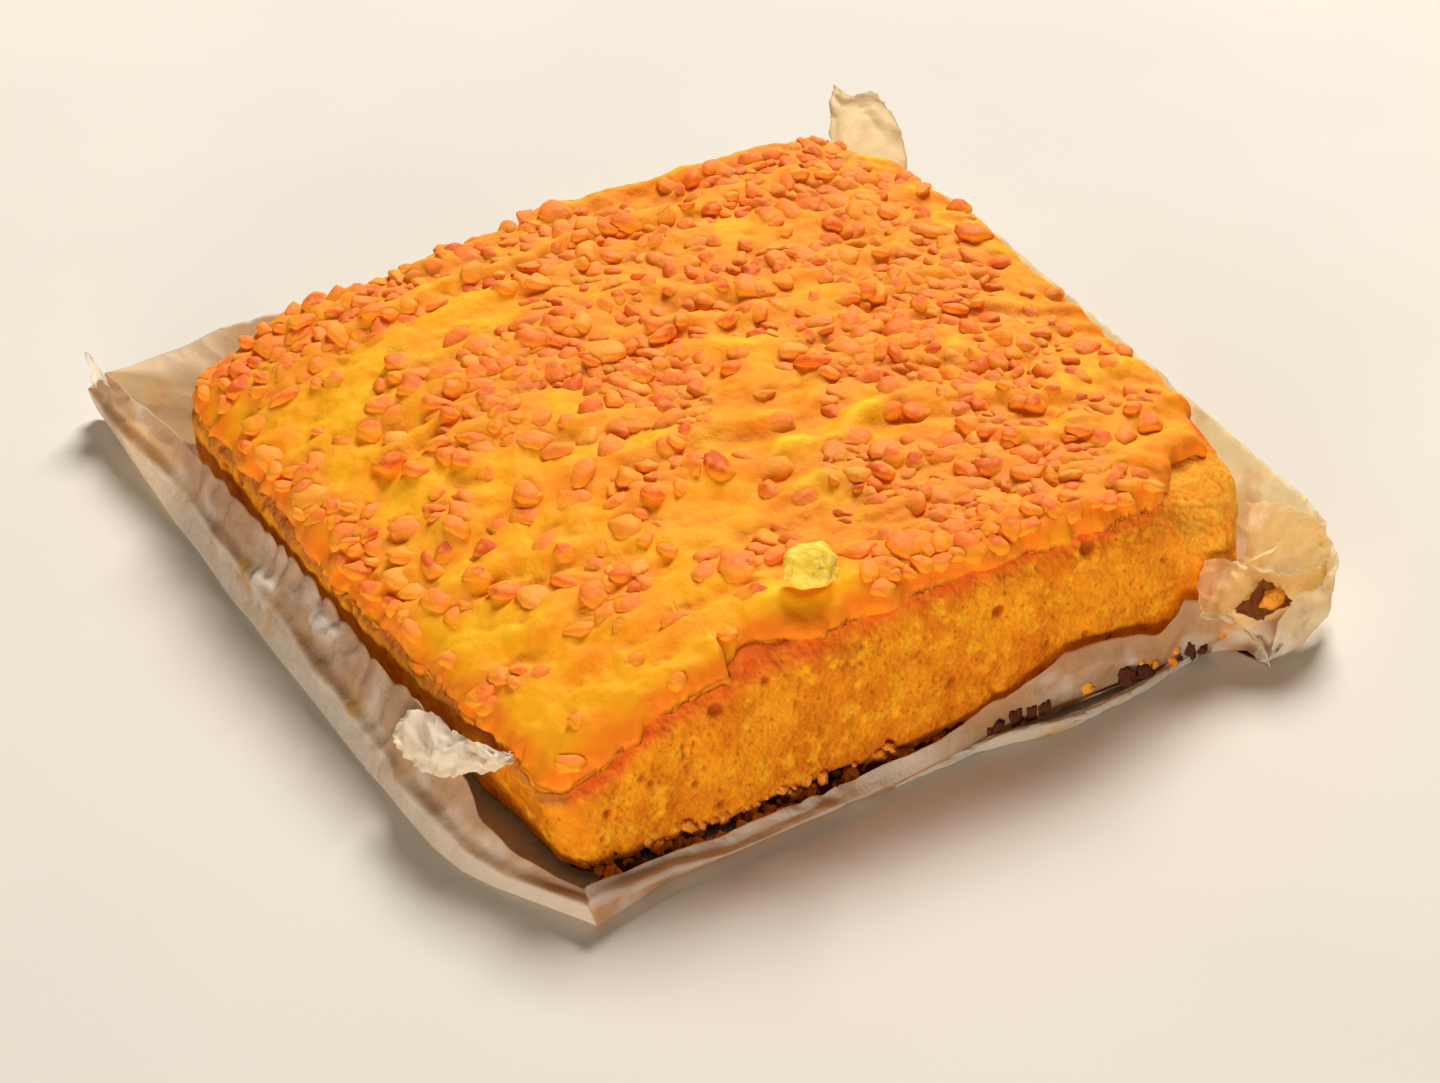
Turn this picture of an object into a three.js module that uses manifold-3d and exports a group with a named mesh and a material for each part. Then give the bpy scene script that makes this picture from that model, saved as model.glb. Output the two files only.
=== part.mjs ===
// A piece of lemon sheet cake in its crumpled paper baking case: a slab of yellow sponge, lemon icing spread
// in ridges with nut nibs on it, one loose crumb, and the case's paper. Millimetres, Z up.
import * as THREE from 'three';
import * as BufferGeometryUtils from 'three/addons/utils/BufferGeometryUtils.js';
import Module from 'manifold-3d';

const wasm = await Module();
wasm.setup();

// The slab's four corners at its foot and at its crust, from the low front left corner round to the right
const FOOT_CORNERS = [[-50, -46.5], [52, -46], [51, 53], [-56, 57]];
const CRUST_CORNERS = [[-52, -45], [52.8, -45.2], [52, 54.5], [-57, 58]];
const CORNER_RADII = [0.04, 0.06, 0.09, 0.05];    // as shares of the slab's side
const SLAB_SIDE = 100;
const LEFT_BULGE = 2.6;
const RIGHT_BULGE = 2;
const OUTLINE_WOBBLE = 0.45;

// Heights of the crust: low along the left side, it rises quickly and then slowly to the right
const CRUST_LEFT = 15.3;
const CRUST_STEEP_RISE = 8.5;
const CRUST_SLOW_RISE = 3.6;
const CRUST_BACK_RISE = 2.2;
const CRUST_RIGHT_DROP = 1.6;
const EDGE_DROP = 1.1;
const CORNER_DROPS = [0.8, 2.4, 1.8, 0.6];
const CRUST_UNEVENNESS = 0.5;
const SPONGE_GRID = [16, 14, 5];
const SPONGE_CROWDING = 0.65;    // how much the grid's lines draw towards the slab's edges

const PAPER = 0.4;
const GAP = 0.3;
const SPONGE_BASE = PAPER + GAP;

// The icing: thickness, ridges, and how far it stays back from the crust's edge
const ICING_THICKNESS = 1.5;
const RIDGE_HEIGHT = 1.5;
const RIDGE_SPACING = 9.4;
const RIDGE_BEND_RADIUS = 375;
const RIDGE_BEND_CENTRE = -33;
const ICING_INSET = 0.5;
const BARE_STEP = { from: 0.235, to: 0.36, depth: 2.6 };
const BROKEN_CORNER = { from: 0.84, depth: 7.5 };
const BACK_NOTCH = { from: 0.2, to: 0.33, depth: 3 };
const ICING_GRID = [28, 25];
const ICING_CROWDING = 0.35;
const ICING_EDGE_DROP = 0.75;

// The nut nibs: how many, their sizes, and the places where they lie thickest, as shares of the slab
const NIB_COUNT = 180;
const NIB_TRIES = 1200;
const NIB_LARGEST = 6.2;
const NIB_SMALLEST = 5;
const NIB_PROPORTIONS = [0.9, 0.76, 0.5];
const NIB_SIZES = [0.88, 1.12];    // least and most, as shares of a nib's own size
const NIB_CHIPS = [0.6, 1.2];      // how far its corners stand out, as shares of a plain block's
const NIB_TIP = 1.1;               // radians, from one side to the other
const NIB_SUNK = 0.02;
const NIB_SPARSE = 0.2;
const NIB_CLUSTERS = [
  { u: 0.08, v: 0.93, size: 0.1 }, { u: 0.25, v: 0.95, size: 0.07 }, { u: 0.06, v: 0.52, size: 0.1 },
  { u: 0.25, v: 0.7, size: 0.1 }, { u: 0.4, v: 0.66, size: 0.07 }, { u: 0.14, v: 0.38, size: 0.07 },
  { u: 0.32, v: 0.5, size: 0.1 }, { u: 0.46, v: 0.56, size: 0.07 }, { u: 0.52, v: 0.87, size: 0.08 },
  { u: 0.86, v: 0.91, size: 0.13 }, { u: 0.66, v: 0.33, size: 0.13 }, { u: 0.6, v: 0.1, size: 0.1 },
  { u: 0.77, v: 0.08, size: 0.08 }, { u: 0.38, v: 0.14, size: 0.05 }, { u: 0.2, v: 0.18, size: 0.05 },
  { u: 0.85, v: 0.52, size: 0.07 },
];

// The loose crumb
const CRUMB = { u: 0.375, v: 0.055, size: 3.2, detail: 1 };
const CRUMB_PROPORTIONS = [1, 0.92, 0.8];
const CRUMB_LUMPS = [0.86, 1.14];
const CRUMB_CLEARANCE = 3;

// The case's wall. At each place round the cake the paper runs out from under it to a bottom fold, up to a
// crease and on to its rim. Along a side these are [out from the cake's foot, up]; at a corner they are
// [x, y] from the cake's corner, and up.
const WALL_CORNERS = [
  { fold: [-1.8, -7.9, 0], crease: [-2.2, -7.2, 4], rim: [-1.2, -4.2, 3.9] },
  { fold: [-2, -7.6, 0], crease: [8.4, -6, 6.2], rim: [12, 0.4, 13.6] },
  { fold: [2, 2, 0], crease: [8, 8.5, 6.5], rim: [9.5, 12.5, 27] },
  { fold: [-5.6, 23.5, 0], crease: [-6.4, 24.2, 4.8], rim: [-4.6, 19.4, 9.5] },
];
const WALL_SIDES = [
  [
    { along: 0.1, fold: [5.6, 0], crease: [5.4, 2.8], rim: [2.9, 3.3] },
    { along: 0.33, fold: [5.4, 0], crease: [5, 2.2], rim: [2.6, 2.5] },
    { along: 0.5, fold: [4.6, 0], crease: [3.8, 1.9], rim: [2.4, 3.4] },
    { along: 0.6, fold: [4.3, 0], crease: [2, 1.4], rim: [1.9, 6] },
    { along: 0.69, fold: [3.9, 0], crease: [1.6, 1.3], rim: [1.8, 9.9] },
    { along: 0.78, fold: [2.9, 0], crease: [1.6, 1.3], rim: [1.8, 8.4] },
    { along: 0.84, fold: [2.5, 0], crease: [1.6, 1.3], rim: [1.7, 6.8] },
    { along: 0.88, fold: [2.3, 0], crease: [1.6, 1.4], rim: [1.8, 10.8] },
    { along: 0.915, fold: [2.2, 0], crease: [1.7, 1.5], rim: [2, 9.3] },
    { along: 0.94, fold: [2.6, 0], crease: [1.8, 2], rim: [1.8, 12.8] },
    { along: 0.98, fold: [4.4, 0], crease: [2.6, 3.4], rim: [2, 13.8] },
  ],
  [
    { along: 0.06, fold: [1.6, 0], crease: [8.5, 6.4], rim: [12.4, 14.4] },
    { along: 0.5, fold: [1.6, 0], crease: [7.7, 6.6], rim: [14.1, 15] },
    { along: 0.93, fold: [2, 0], crease: [8.4, 6.6], rim: [15, 15.2] },
    { along: 0.985, fold: [2, 0], crease: [8.4, 6.6], rim: [13, 17.5] },
  ],
  [
    { along: 0.015, fold: [2, 0], crease: [8.4, 6.6], rim: [14.5, 17] },
    { along: 0.09, fold: [2, 0], crease: [8.2, 6.6], rim: [15, 15.2] },
    { along: 0.5, fold: [2, 0], crease: [8, 6.6], rim: [14.6, 14.8] },
    { along: 0.9, fold: [4, 0], crease: [9.4, 6.4], rim: [14.6, 15] },
    { along: 0.95, fold: [7, 0], crease: [12, 6], rim: [16.4, 12.4] },
  ],
  [
    { along: 0.08, fold: [7.2, 0], crease: [5.6, 5.4], rim: [3.6, 11.6] },
    { along: 0.35, fold: [9.2, 0], crease: [7, 5.6], rim: [3.9, 12] },
    { along: 0.6, fold: [10.5, 0], crease: [8.8, 6], rim: [5.4, 12] },
    { along: 0.7, fold: [10.9, 0], crease: [9, 6], rim: [5.8, 12.6] },
    { along: 0.75, fold: [11.2, 0], crease: [9, 6], rim: [4.6, 15.2] },
    { along: 0.85, fold: [11.4, 0], crease: [9.6, 5.8], rim: [3.4, 16.2] },
    { along: 0.88, fold: [11.2, 0], crease: [9.8, 5.6], rim: [6.6, 9] },
    { along: 0.96, fold: [8.3, 0], crease: [8.1, 4.5], rim: [5.5, 5] },
  ],
];
const WALL_STEPS = [32, 22, 24, 30];
const WALL_CROWDING = 0.5;
const FLOOR_INSET = 7;
const RIM_SCALLOP = 0.35;
const WALL_SAG = 0.5;
const LOWEST_INSIDE = 0.1;

const MATERIALS = {
  sponge: { color: 0xd6962a, roughness: 0.9 },
  icing: { color: 0xf2a53c, roughness: 0.45 },
  crumb: { color: 0xe8b53a, roughness: 0.9 },
  paper: { color: 0xddd0bd, roughness: 0.7 },
};

const clamp01 = (x) => Math.min(1, Math.max(0, x));
const lerp = (a, b, t) => a + (b - a) * t;

function smoothStep(from, to, x) {
  const t = clamp01((x - from) / (to - from));
  return t * t * (3 - 2 * t);
}

const bump = (x, width) => Math.exp(-((x / width) ** 2));

// A number from 0 to 1 that is always the same for the same seed
function chance(seed) {
  const s = Math.sin(seed * 12.9898 + 4.1) * 43758.5453;
  return s - Math.floor(s);
}

// Smooth unevenness from -1 to 1 over a square lattice of unit cells
function unevenness(x, y, seed) {
  const column = Math.floor(x);
  const row = Math.floor(y);
  const corner = (i, j) => chance(column + i + (row + j) * 57 + seed * 131) * 2 - 1;
  const s = smoothStep(0, 1, x - column);
  const t = smoothStep(0, 1, y - row);
  return lerp(lerp(corner(0, 0), corner(1, 0), s), lerp(corner(0, 1), corner(1, 1), s), t);
}

// Pulls a point of the unit square in to a square with rounded corners
function roundCorners(u, v) {
  let [x, y] = [u, v];
  CORNER_RADII.forEach((radius, corner) => {
    const right = corner === 1 || corner === 2;
    const back = corner >= 2;
    const a = (right ? u - 1 : -u) / radius + 1;
    const b = (back ? v - 1 : -v) / radius + 1;
    if (a <= 0 || b <= 0) return;
    const pull = 1 - Math.max(a, b) / Math.hypot(a, b);
    x -= (right ? 1 : -1) * a * radius * pull;
    y -= (back ? 1 : -1) * b * radius * pull;
  });
  return [x, y];
}

function betweenCorners(corners, u, v, axis) {
  const front = lerp(corners[0][axis], corners[1][axis], u);
  const back = lerp(corners[3][axis], corners[2][axis], u);
  return lerp(front, back, v);
}

// Where a place of the slab lies: u runs from left to right, v from front to back, w from foot to crust
function planPoint(u, v, w) {
  const [a, b] = roundCorners(u, v);
  const bulge = Math.sin(Math.PI * clamp01(v)) * (0.35 + 0.65 * w);
  let x = lerp(betweenCorners(FOOT_CORNERS, a, b, 0), betweenCorners(CRUST_CORNERS, a, b, 0), w);
  let y = lerp(betweenCorners(FOOT_CORNERS, a, b, 1), betweenCorners(CRUST_CORNERS, a, b, 1), w);
  x += bulge * (RIGHT_BULGE * a - LEFT_BULGE * (1 - a) * (0.6 + 0.5 * b));
  x += OUTLINE_WOBBLE * unevenness(y / 13, w, 1);
  y += OUTLINE_WOBBLE * unevenness(x / 13, w, 2);
  return [x, y];
}

function crustHeight(u, v) {
  let z = CRUST_LEFT + CRUST_STEEP_RISE * (1 - Math.exp(-((Math.max(u, 0) / 0.16) ** 1.6)));
  z += CRUST_SLOW_RISE * u + CRUST_BACK_RISE * v - CRUST_RIGHT_DROP * smoothStep(0.82, 1, u);
  const edge = Math.min(u, v, 1 - u, 1 - v);
  z -= EDGE_DROP * bump(edge, 0.022);
  CORNER_DROPS.forEach((drop, corner) => {
    const across = corner === 1 || corner === 2 ? 1 - u : u;
    const along = corner >= 2 ? 1 - v : v;
    z -= drop * bump(Math.hypot(across, along), 0.11);
  });
  return z + CRUST_UNEVENNESS * unevenness(u * 6, v * 6, 3);
}

// The icing's ridges, 0 in a trough and 1 on a crest: long shallow arcs that wander, part and die out
function ridge(x, y) {
  const bend = ((x - RIDGE_BEND_CENTRE) ** 2) / (2 * RIDGE_BEND_RADIUS);
  const wander = 0.55 * unevenness(x / 17, y / 12, 4) + 0.2 * unevenness(x / 7, y / 7, 5);
  const wave = 0.5 + 0.5 * Math.cos(2 * Math.PI * ((y + bend) / RIDGE_SPACING + wander));
  const strength = 0.62 + 0.38 * unevenness(x / 15, y / 11, 6);
  return strength * wave ** 1.3 + 0.3 * (0.5 + 0.5 * unevenness(x / 4.5, y / 3.6, 7));
}

// How far the icing's front edge stays back from the crust's edge, along the front
function frontInset(u) {
  const step = smoothStep(BARE_STEP.from, BARE_STEP.from + 0.012, u) * (1 - smoothStep(0.3, BARE_STEP.to, u));
  const corner = smoothStep(BROKEN_CORNER.from, 0.93, u);
  const ragged = 0.5 * Math.abs(unevenness(u * 22, 0, 8));
  return ICING_INSET + BARE_STEP.depth * step + BROKEN_CORNER.depth * corner + ragged;
}

function backInset(u) {
  const notch = smoothStep(BACK_NOTCH.from - 0.05, BACK_NOTCH.from, u)
    * (1 - smoothStep(BACK_NOTCH.to, BACK_NOTCH.to + 0.03, u));
  return ICING_INSET + BACK_NOTCH.depth * notch + 0.4 * Math.abs(unevenness(u * 20, 0, 9));
}

// A place on the icing's sheet, in shares of the slab, from a place on a plain unit square
function icingPlace(s, t) {
  const side = (ICING_INSET + 0.5 * Math.abs(unevenness(0, t * 20, 10))) / SLAB_SIDE;
  const broken = (BROKEN_CORNER.depth * 0.35 * (1 - smoothStep(0.02, 0.12, t))) / SLAB_SIDE;
  const u = lerp(side, 1 - side - broken, s);
  return [u, lerp(frontInset(u) / SLAB_SIDE, 1 - backInset(u) / SLAB_SIDE, t)];
}

function icingHeight(u, v) {
  const [x, y] = planPoint(u, v, 1);
  return crustHeight(u, v) + GAP + ICING_THICKNESS + RIDGE_HEIGHT * (ridge(x, y) - 0.3);
}

// A box of unit size whose grid of points a rule moves to their places, as one closed mesh
function moldedBox(columns, rows, layers, place) {
  const box = new THREE.BoxGeometry(1, 1, 1, columns, rows, layers);
  const points = box.attributes.position;
  for (let i = 0; i < points.count; i += 1) {
    const at = place(points.getX(i) + 0.5, points.getY(i) + 0.5, points.getZ(i) + 0.5);
    points.setXYZ(i, ...at);
  }
  return closedGeometry(box);
}

function closedGeometry(geometry) {
  geometry.deleteAttribute('normal');
  geometry.deleteAttribute('uv');
  return BufferGeometryUtils.mergeVertices(geometry, 1e-4);
}

// Draws grid lines towards both ends, where edges turn
const crowdEnds = (t, share) => t - (share * Math.sin(2 * Math.PI * t)) / (2 * Math.PI);

// The sponge: its sides lean from foot to crust, and its top and bottom edges are rounded
function spongeGeometry(grow) {
  const edgeInset = 0.012;
  return moldedBox(...SPONGE_GRID, (s, t, layer) => {
    const w = smoothStep(-0.12, 1.12, layer) * 1.06 - 0.03;
    const height = clamp01(w);
    const turned = edgeInset * (bump(height, 0.06) + bump(1 - height, 0.08)) - grow / SLAB_SIDE;
    const u = lerp(turned, 1 - turned, crowdEnds(s, SPONGE_CROWDING));
    const v = lerp(turned, 1 - turned, crowdEnds(t, SPONGE_CROWDING));
    const [x, y] = planPoint(u, v, height);
    return [x, y, lerp(SPONGE_BASE, crustHeight(u, v), height) + grow * height];
  });
}

function toSolid(geometry) {
  return new wasm.Manifold(new wasm.Mesh({
    numProp: 3,
    vertProperties: new Float32Array(geometry.attributes.position.array),
    triVerts: new Uint32Array(geometry.index.array),
  }));
}

function toGeometry(solid) {
  const mesh = solid.getMesh();
  const geometry = new THREE.BufferGeometry();
  geometry.setAttribute('position', new THREE.BufferAttribute(new Float32Array(mesh.vertProperties), 3));
  geometry.setIndex(new THREE.BufferAttribute(new Uint32Array(mesh.triVerts), 1));
  return geometry;
}

const largestPiece = (solid) => solid.decompose().sort((a, b) => b.volume() - a.volume())[0];

// The block of icing before its underside is fitted to the crust
function icingBlock() {
  const depth = 1.2;
  const geometry = moldedBox(...ICING_GRID, 1, (s, t, layer) => {
    const [u, v] = icingPlace(crowdEnds(s, ICING_CROWDING), crowdEnds(t, ICING_CROWDING));
    const [x, y] = planPoint(u, v, 1);
    const rim = Math.min(s, 1 - s, t, 1 - t) < 0.01 ? ICING_EDGE_DROP : 0;
    return [x, y, layer > 0.5 ? icingHeight(u, v) - rim : crustHeight(u, v) - depth];
  });
  return toSolid(geometry);
}

function nibDensity(u, v) {
  const [x, y] = planPoint(u, v, 1);
  const heaped = NIB_CLUSTERS.reduce((sum, c) => sum + bump(Math.hypot(u - c.u, v - c.v), c.size), 0);
  return (NIB_SPARSE + (1 - NIB_SPARSE) * Math.min(1, heaped)) * (1.15 - 0.75 * Math.min(1, ridge(x, y)));
}

// The nibs' places, largest nib first: an even sequence over the icing, thinned by how thick the nibs lie
function nibPlaces() {
  const places = [];
  for (let i = 0; i < NIB_TRIES && places.length < NIB_COUNT; i += 1) {
    const s = (0.5 + i * 0.7548776662) % 1;
    const t = (0.5 + i * 0.569840291) % 1;
    const [u, v] = icingPlace(lerp(0.02, 0.98, s), lerp(0.02, 0.98, t));
    const nearCrumb = Math.hypot(u - CRUMB.u, v - CRUMB.v) * SLAB_SIDE < CRUMB.size + CRUMB_CLEARANCE;
    if (!nearCrumb && chance(i + 900) < nibDensity(u, v)) places.push([u, v, i]);
  }
  return places;
}

// One chopped nut nib: a block with chipped corners, tipped at random
function nibSolid([u, v, seed], order) {
  const size = lerp(NIB_LARGEST, NIB_SMALLEST, order / NIB_COUNT) * lerp(...NIB_SIZES, chance(seed + 50));
  const nib = closedGeometry(new THREE.BoxGeometry(...NIB_PROPORTIONS.map((part) => part * size)));
  const points = nib.attributes.position;
  for (let i = 0; i < points.count; i += 1) {
    const chipped = [0, 1, 2].map((axis) => lerp(...NIB_CHIPS, chance(seed * 17 + i * 3 + axis)));
    points.setXYZ(i, ...chipped.map((share, axis) => points.getComponent(i, axis) * share));
  }
  nib.rotateX((chance(seed + 60) - 0.5) * NIB_TIP);
  nib.rotateY((chance(seed + 65) - 0.5) * NIB_TIP);
  nib.rotateZ(chance(seed + 70) * Math.PI);
  const [x, y] = planPoint(u, v, 1);
  nib.translate(x, y, icingHeight(u, v) - size * NIB_SUNK);
  return toSolid(nib);
}

function icingGeometry() {
  const nibs = nibPlaces().map(nibSolid);
  const topping = wasm.Manifold.union([icingBlock(), ...nibs]);
  return toGeometry(largestPiece(topping.subtract(toSolid(spongeGeometry(GAP)))));
}

// The loose crumb: a rough lump that rests on the icing
function crumbGeometry() {
  const crumb = closedGeometry(new THREE.IcosahedronGeometry(CRUMB.size, CRUMB.detail));
  const points = crumb.attributes.position;
  for (let i = 0; i < points.count; i += 1) {
    const lump = lerp(...CRUMB_LUMPS, chance(i + 300));
    points.setXYZ(i, ...CRUMB_PROPORTIONS.map((part, axis) => points.getComponent(i, axis) * part * lump));
  }
  const [x, y] = planPoint(CRUMB.u, CRUMB.v, 1);
  let lift = 0;
  for (let i = 0; i < points.count; i += 1) {
    const [u, v] = [CRUMB.u + points.getX(i) / SLAB_SIDE, CRUMB.v + points.getY(i) / SLAB_SIDE];
    lift = Math.max(lift, icingHeight(u, v) - points.getZ(i));
  }
  return crumb.translate(x, y, lift + GAP);
}

// One side's foot on the paper, from 0 to 1 along it, moved out from the cake
function besideFoot(side, along, out) {
  const from = new THREE.Vector2(...FOOT_CORNERS[side]);
  const to = new THREE.Vector2(...FOOT_CORNERS[(side + 1) % 4]);
  const outward = new THREE.Vector2(to.y - from.y, from.x - to.x).normalize();
  return from.lerp(to, along).addScaledVector(outward, out);
}

// The wall's known places along one side, corner to corner, each with its three lines as points
function wallStations(side) {
  const atCorner = (corner, along) => {
    const [x, y] = FOOT_CORNERS[corner];
    const point = ([dx, dy, up]) => new THREE.Vector3(x + dx, y + dy, up);
    const { fold, crease, rim } = WALL_CORNERS[corner];
    return { along, fold: point(fold), crease: point(crease), rim: point(rim) };
  };
  const between = WALL_SIDES[side].map(({ along, fold, crease, rim }) => {
    const point = ([out, up]) => new THREE.Vector3(...besideFoot(side, along, out), up);
    return { along, fold: point(fold), crease: point(crease), rim: point(rim) };
  });
  return [atCorner(side, 0), ...between, atCorner((side + 1) % 4, 1)];
}

// The paper's section at one place: under the cake, bottom fold, crease, half way up and rim
function wallSection(side, stations, along) {
  const next = Math.max(1, stations.findIndex((station) => station.along >= along));
  const [before, after] = [stations[next - 1], stations[next]];
  const share = (along - before.along) / (after.along - before.along);
  const eased = lerp(share, smoothStep(0, 1, share), 0.5);
  const [fold, crease, rim] = ['fold', 'crease', 'rim'].map(
    (line) => before[line].clone().lerp(after[line], eased),
  );
  const loose = Math.sin(Math.PI * along);
  crease.z += loose * 0.4 * unevenness(along * 14, side, 20);
  rim.z += loose * RIM_SCALLOP * Math.sin(along * 150 + 2 * unevenness(along * 9, side, 21));
  const middle = crease.clone().lerp(rim, 0.5);
  middle.z -= loose * WALL_SAG * (0.6 + 0.4 * unevenness(along * 11, side, 22));
  const under = new THREE.Vector3(...besideFoot(side, lerp(0.07, 0.93, along), -FLOOR_INSET), 0);
  return [under, fold, crease, middle, rim];
}

function caseSections() {
  const sections = [];
  WALL_STEPS.forEach((steps, side) => {
    const stations = wallStations(side);
    for (let step = 0; step < steps; step += 1) {
      sections.push(wallSection(side, stations, crowdEnds(step / steps, WALL_CROWDING)));
    }
  });
  return sections;
}

// The sheet's other face: each point moved in by the paper's thickness, square to the faces round it
function insideOf(points, faces) {
  const inward = points.map(() => new THREE.Vector3());
  const [face, normal] = [new THREE.Triangle(), new THREE.Vector3()];
  faces.forEach((corners) => {
    face.setFromPointsAndIndices(points, ...corners).getNormal(normal);
    corners.forEach((corner) => inward[corner].sub(normal));
  });
  return points.map((point, i) => {
    const inside = inward[i].setLength(PAPER).add(point);
    return inside.setZ(Math.max(inside.z, LOWEST_INSIDE));
  });
}

// The paper case: one folded sheet, given its thickness on the inside, with both faces split alike
function caseGeometry() {
  const sections = caseSections();
  const rows = sections[0].length;
  const ring = (index) => (index % sections.length) * rows;
  const outer = [...sections.flat(), new THREE.Vector3(0, 5, 0)];
  const centre = outer.length - 1;
  const faces = [];
  sections.forEach((section, index) => {
    const [here, there] = [ring(index), ring(index + 1)];
    faces.push([centre, there, here]);
    for (let row = 0; row + 1 < rows; row += 1) {
      faces.push([here + row, there + row, there + row + 1], [here + row, there + row + 1, here + row + 1]);
    }
  });
  const inner = insideOf(outer, faces);
  const lift = outer.length;
  const inside = faces.map(([a, b, c]) => [a + lift, c + lift, b + lift]);
  const rimFaces = sections.flatMap((section, index) => {
    const [here, there] = [ring(index) + rows - 1, ring(index + 1) + rows - 1];
    return [[here, there, there + lift], [here, there + lift, here + lift]];
  });
  const shell = new THREE.BufferGeometry().setFromPoints([...outer, ...inner]);
  shell.setIndex([...faces, ...inside, ...rimFaces].flat());
  return shell;
}

function addPiece(group, name, geometry) {
  const material = new THREE.MeshStandardMaterial({ metalness: 0, ...MATERIALS[name] });
  const mesh = new THREE.Mesh(geometry, material);
  mesh.name = name;
  group.add(mesh);
}

const cake = new THREE.Group();
addPiece(cake, 'sponge', spongeGeometry(0));
addPiece(cake, 'icing', icingGeometry());
addPiece(cake, 'crumb', crumbGeometry());
addPiece(cake, 'paper', caseGeometry());

// The origin is on the ground under the middle of the whole
const middle = new THREE.Box3().setFromObject(cake).getCenter(new THREE.Vector3());
cake.position.set(-middle.x, -middle.y, 0);

export default cake;
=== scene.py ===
# A piece of lemon sheet cake in its crumpled paper case. Shapes are worked out in millimetres in the cake's
# own frame, as in the part's source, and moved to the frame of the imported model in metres.
import math

import bpy
import numpy as np
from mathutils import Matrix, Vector


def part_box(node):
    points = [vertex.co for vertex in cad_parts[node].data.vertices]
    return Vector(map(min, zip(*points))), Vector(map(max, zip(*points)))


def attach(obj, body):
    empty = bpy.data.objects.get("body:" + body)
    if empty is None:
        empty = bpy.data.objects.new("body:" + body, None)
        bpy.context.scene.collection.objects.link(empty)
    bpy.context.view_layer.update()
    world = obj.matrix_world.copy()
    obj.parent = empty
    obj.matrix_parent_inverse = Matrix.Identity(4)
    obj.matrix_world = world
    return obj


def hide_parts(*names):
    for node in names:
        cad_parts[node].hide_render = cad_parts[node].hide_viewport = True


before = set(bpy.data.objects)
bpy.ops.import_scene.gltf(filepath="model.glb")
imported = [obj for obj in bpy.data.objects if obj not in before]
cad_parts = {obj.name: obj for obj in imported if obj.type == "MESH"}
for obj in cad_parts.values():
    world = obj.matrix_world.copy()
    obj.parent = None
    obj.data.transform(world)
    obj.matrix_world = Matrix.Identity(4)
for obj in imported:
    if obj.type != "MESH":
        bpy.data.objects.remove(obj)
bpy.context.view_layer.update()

# The slab: corners at foot and crust, from the low front left one round to the right
FOOT_CORNERS = np.array([[-50, -46.5], [52, -46], [51, 53], [-56, 57]])
CRUST_CORNERS = np.array([[-52, -45], [52.8, -45.2], [52, 54.5], [-57, 58]])
CORNER_RADII = [0.04, 0.06, 0.09, 0.05]
SLAB_SIDE = 100             # what one step of u or v stands for
LEFT_BULGE = 2.6
RIGHT_BULGE = 2
OUTLINE_WOBBLE = 0.45
CRUST_LEFT = 15.3
CRUST_STEEP_RISE = 8.5
CRUST_SLOW_RISE = 3.6
CRUST_BACK_RISE = 2.2
CRUST_RIGHT_DROP = 1.6
EDGE_DROP = 1.1
CORNER_DROPS = [0.8, 2.4, 1.8, 0.6]
CRUST_UNEVENNESS = 0.5
GAP = 0.3                   # between the crust and the icing
SPONGE_BASE = 0.7           # how high the slab's foot stands, on the paper
SPONGE_AROUND = 1000        # places round the slab
SPONGE_LAYERS = 60          # and up its sides
CRUST_BAND = {"left": 5, "right": 3.4}    # how far down the sides the browned crust reaches
CRUMB_GRAIN = [(0.3, 5.5, 1), (0.2, 2.2, 2), (0.14, 1.1, 3)]    # height, width and seed of each roughness
# How far apart pores lie, how wide they are, what share of them is there, and their seed
PORES = [(4.6, 1.3, 0.22, 11), (2.4, 0.8, 0.4, 23), (1.3, 0.45, 0.6, 37)]

# The icing
ICING_THICKNESS = 1.5
RIDGE_HEIGHT = 1.5
RIDGE_SPACING = 9.4
RIDGE_BEND_RADIUS = 375
RIDGE_BEND_CENTRE = -33
ICING_INSET = 0.5
BARE_STEP = {"from": 0.235, "to": 0.36, "depth": 2.6}
BROKEN_CORNER = {"from": 0.84, "depth": 7.5, "drop": 0.9, "slope": 1.4}
BACK_NOTCH = {"from": 0.2, "to": 0.33, "depth": 3}
EDGE_ROUND = 1.5
EDGE_THINNING = 0.7
EDGE_LOBES = 1.1            # how far the spread edge's lobes hang out
EDGE_SINK = 1.6             # how far the icing's underside drops where the crust is broken off
# Rows of the icing's underside: how far in towards its middle, and how high over the crust
ICING_UNDERSIDE = ((0.002, 0.1), (0.012, 0), (0.05, 0.1))
ICING_GRID = (250, 238)

# The nut nibs: the large ones stand where the solid's do, the small ones fill in between
NIB_COUNT = 180
NIB_TRIES = 1200
NIB_LARGEST = 6.2
NIB_SMALLEST = 5
NIB_PROPORTIONS = (0.9, 0.74, 0.43)
NIB_SIZES = (0.88, 1.12)    # least and most, as shares of a nib's own size
NIB_CHIPS = (0.6, 1.2)      # how far its corners stand out, as shares of a plain block's
NIB_TIP = 1.1               # radians, from one side to the other
NIB_ROUNDING = 0.85         # from a block, 0, to a ball, 1
NIB_GRID = 4
NIB_SPARSE = 0.2
NIB_CLUSTERS = [
    (0.08, 0.93, 0.1), (0.25, 0.95, 0.07), (0.06, 0.52, 0.1), (0.25, 0.7, 0.1), (0.4, 0.66, 0.07),
    (0.14, 0.38, 0.07), (0.32, 0.5, 0.1), (0.46, 0.56, 0.07), (0.52, 0.87, 0.08), (0.86, 0.91, 0.13),
    (0.66, 0.33, 0.13), (0.6, 0.1, 0.1), (0.77, 0.08, 0.08), (0.38, 0.14, 0.05), (0.2, 0.18, 0.05),
    (0.85, 0.52, 0.07),
]
SMALL_NIB_COUNT = 820
SMALL_NIB_TRIES = 30000
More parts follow.
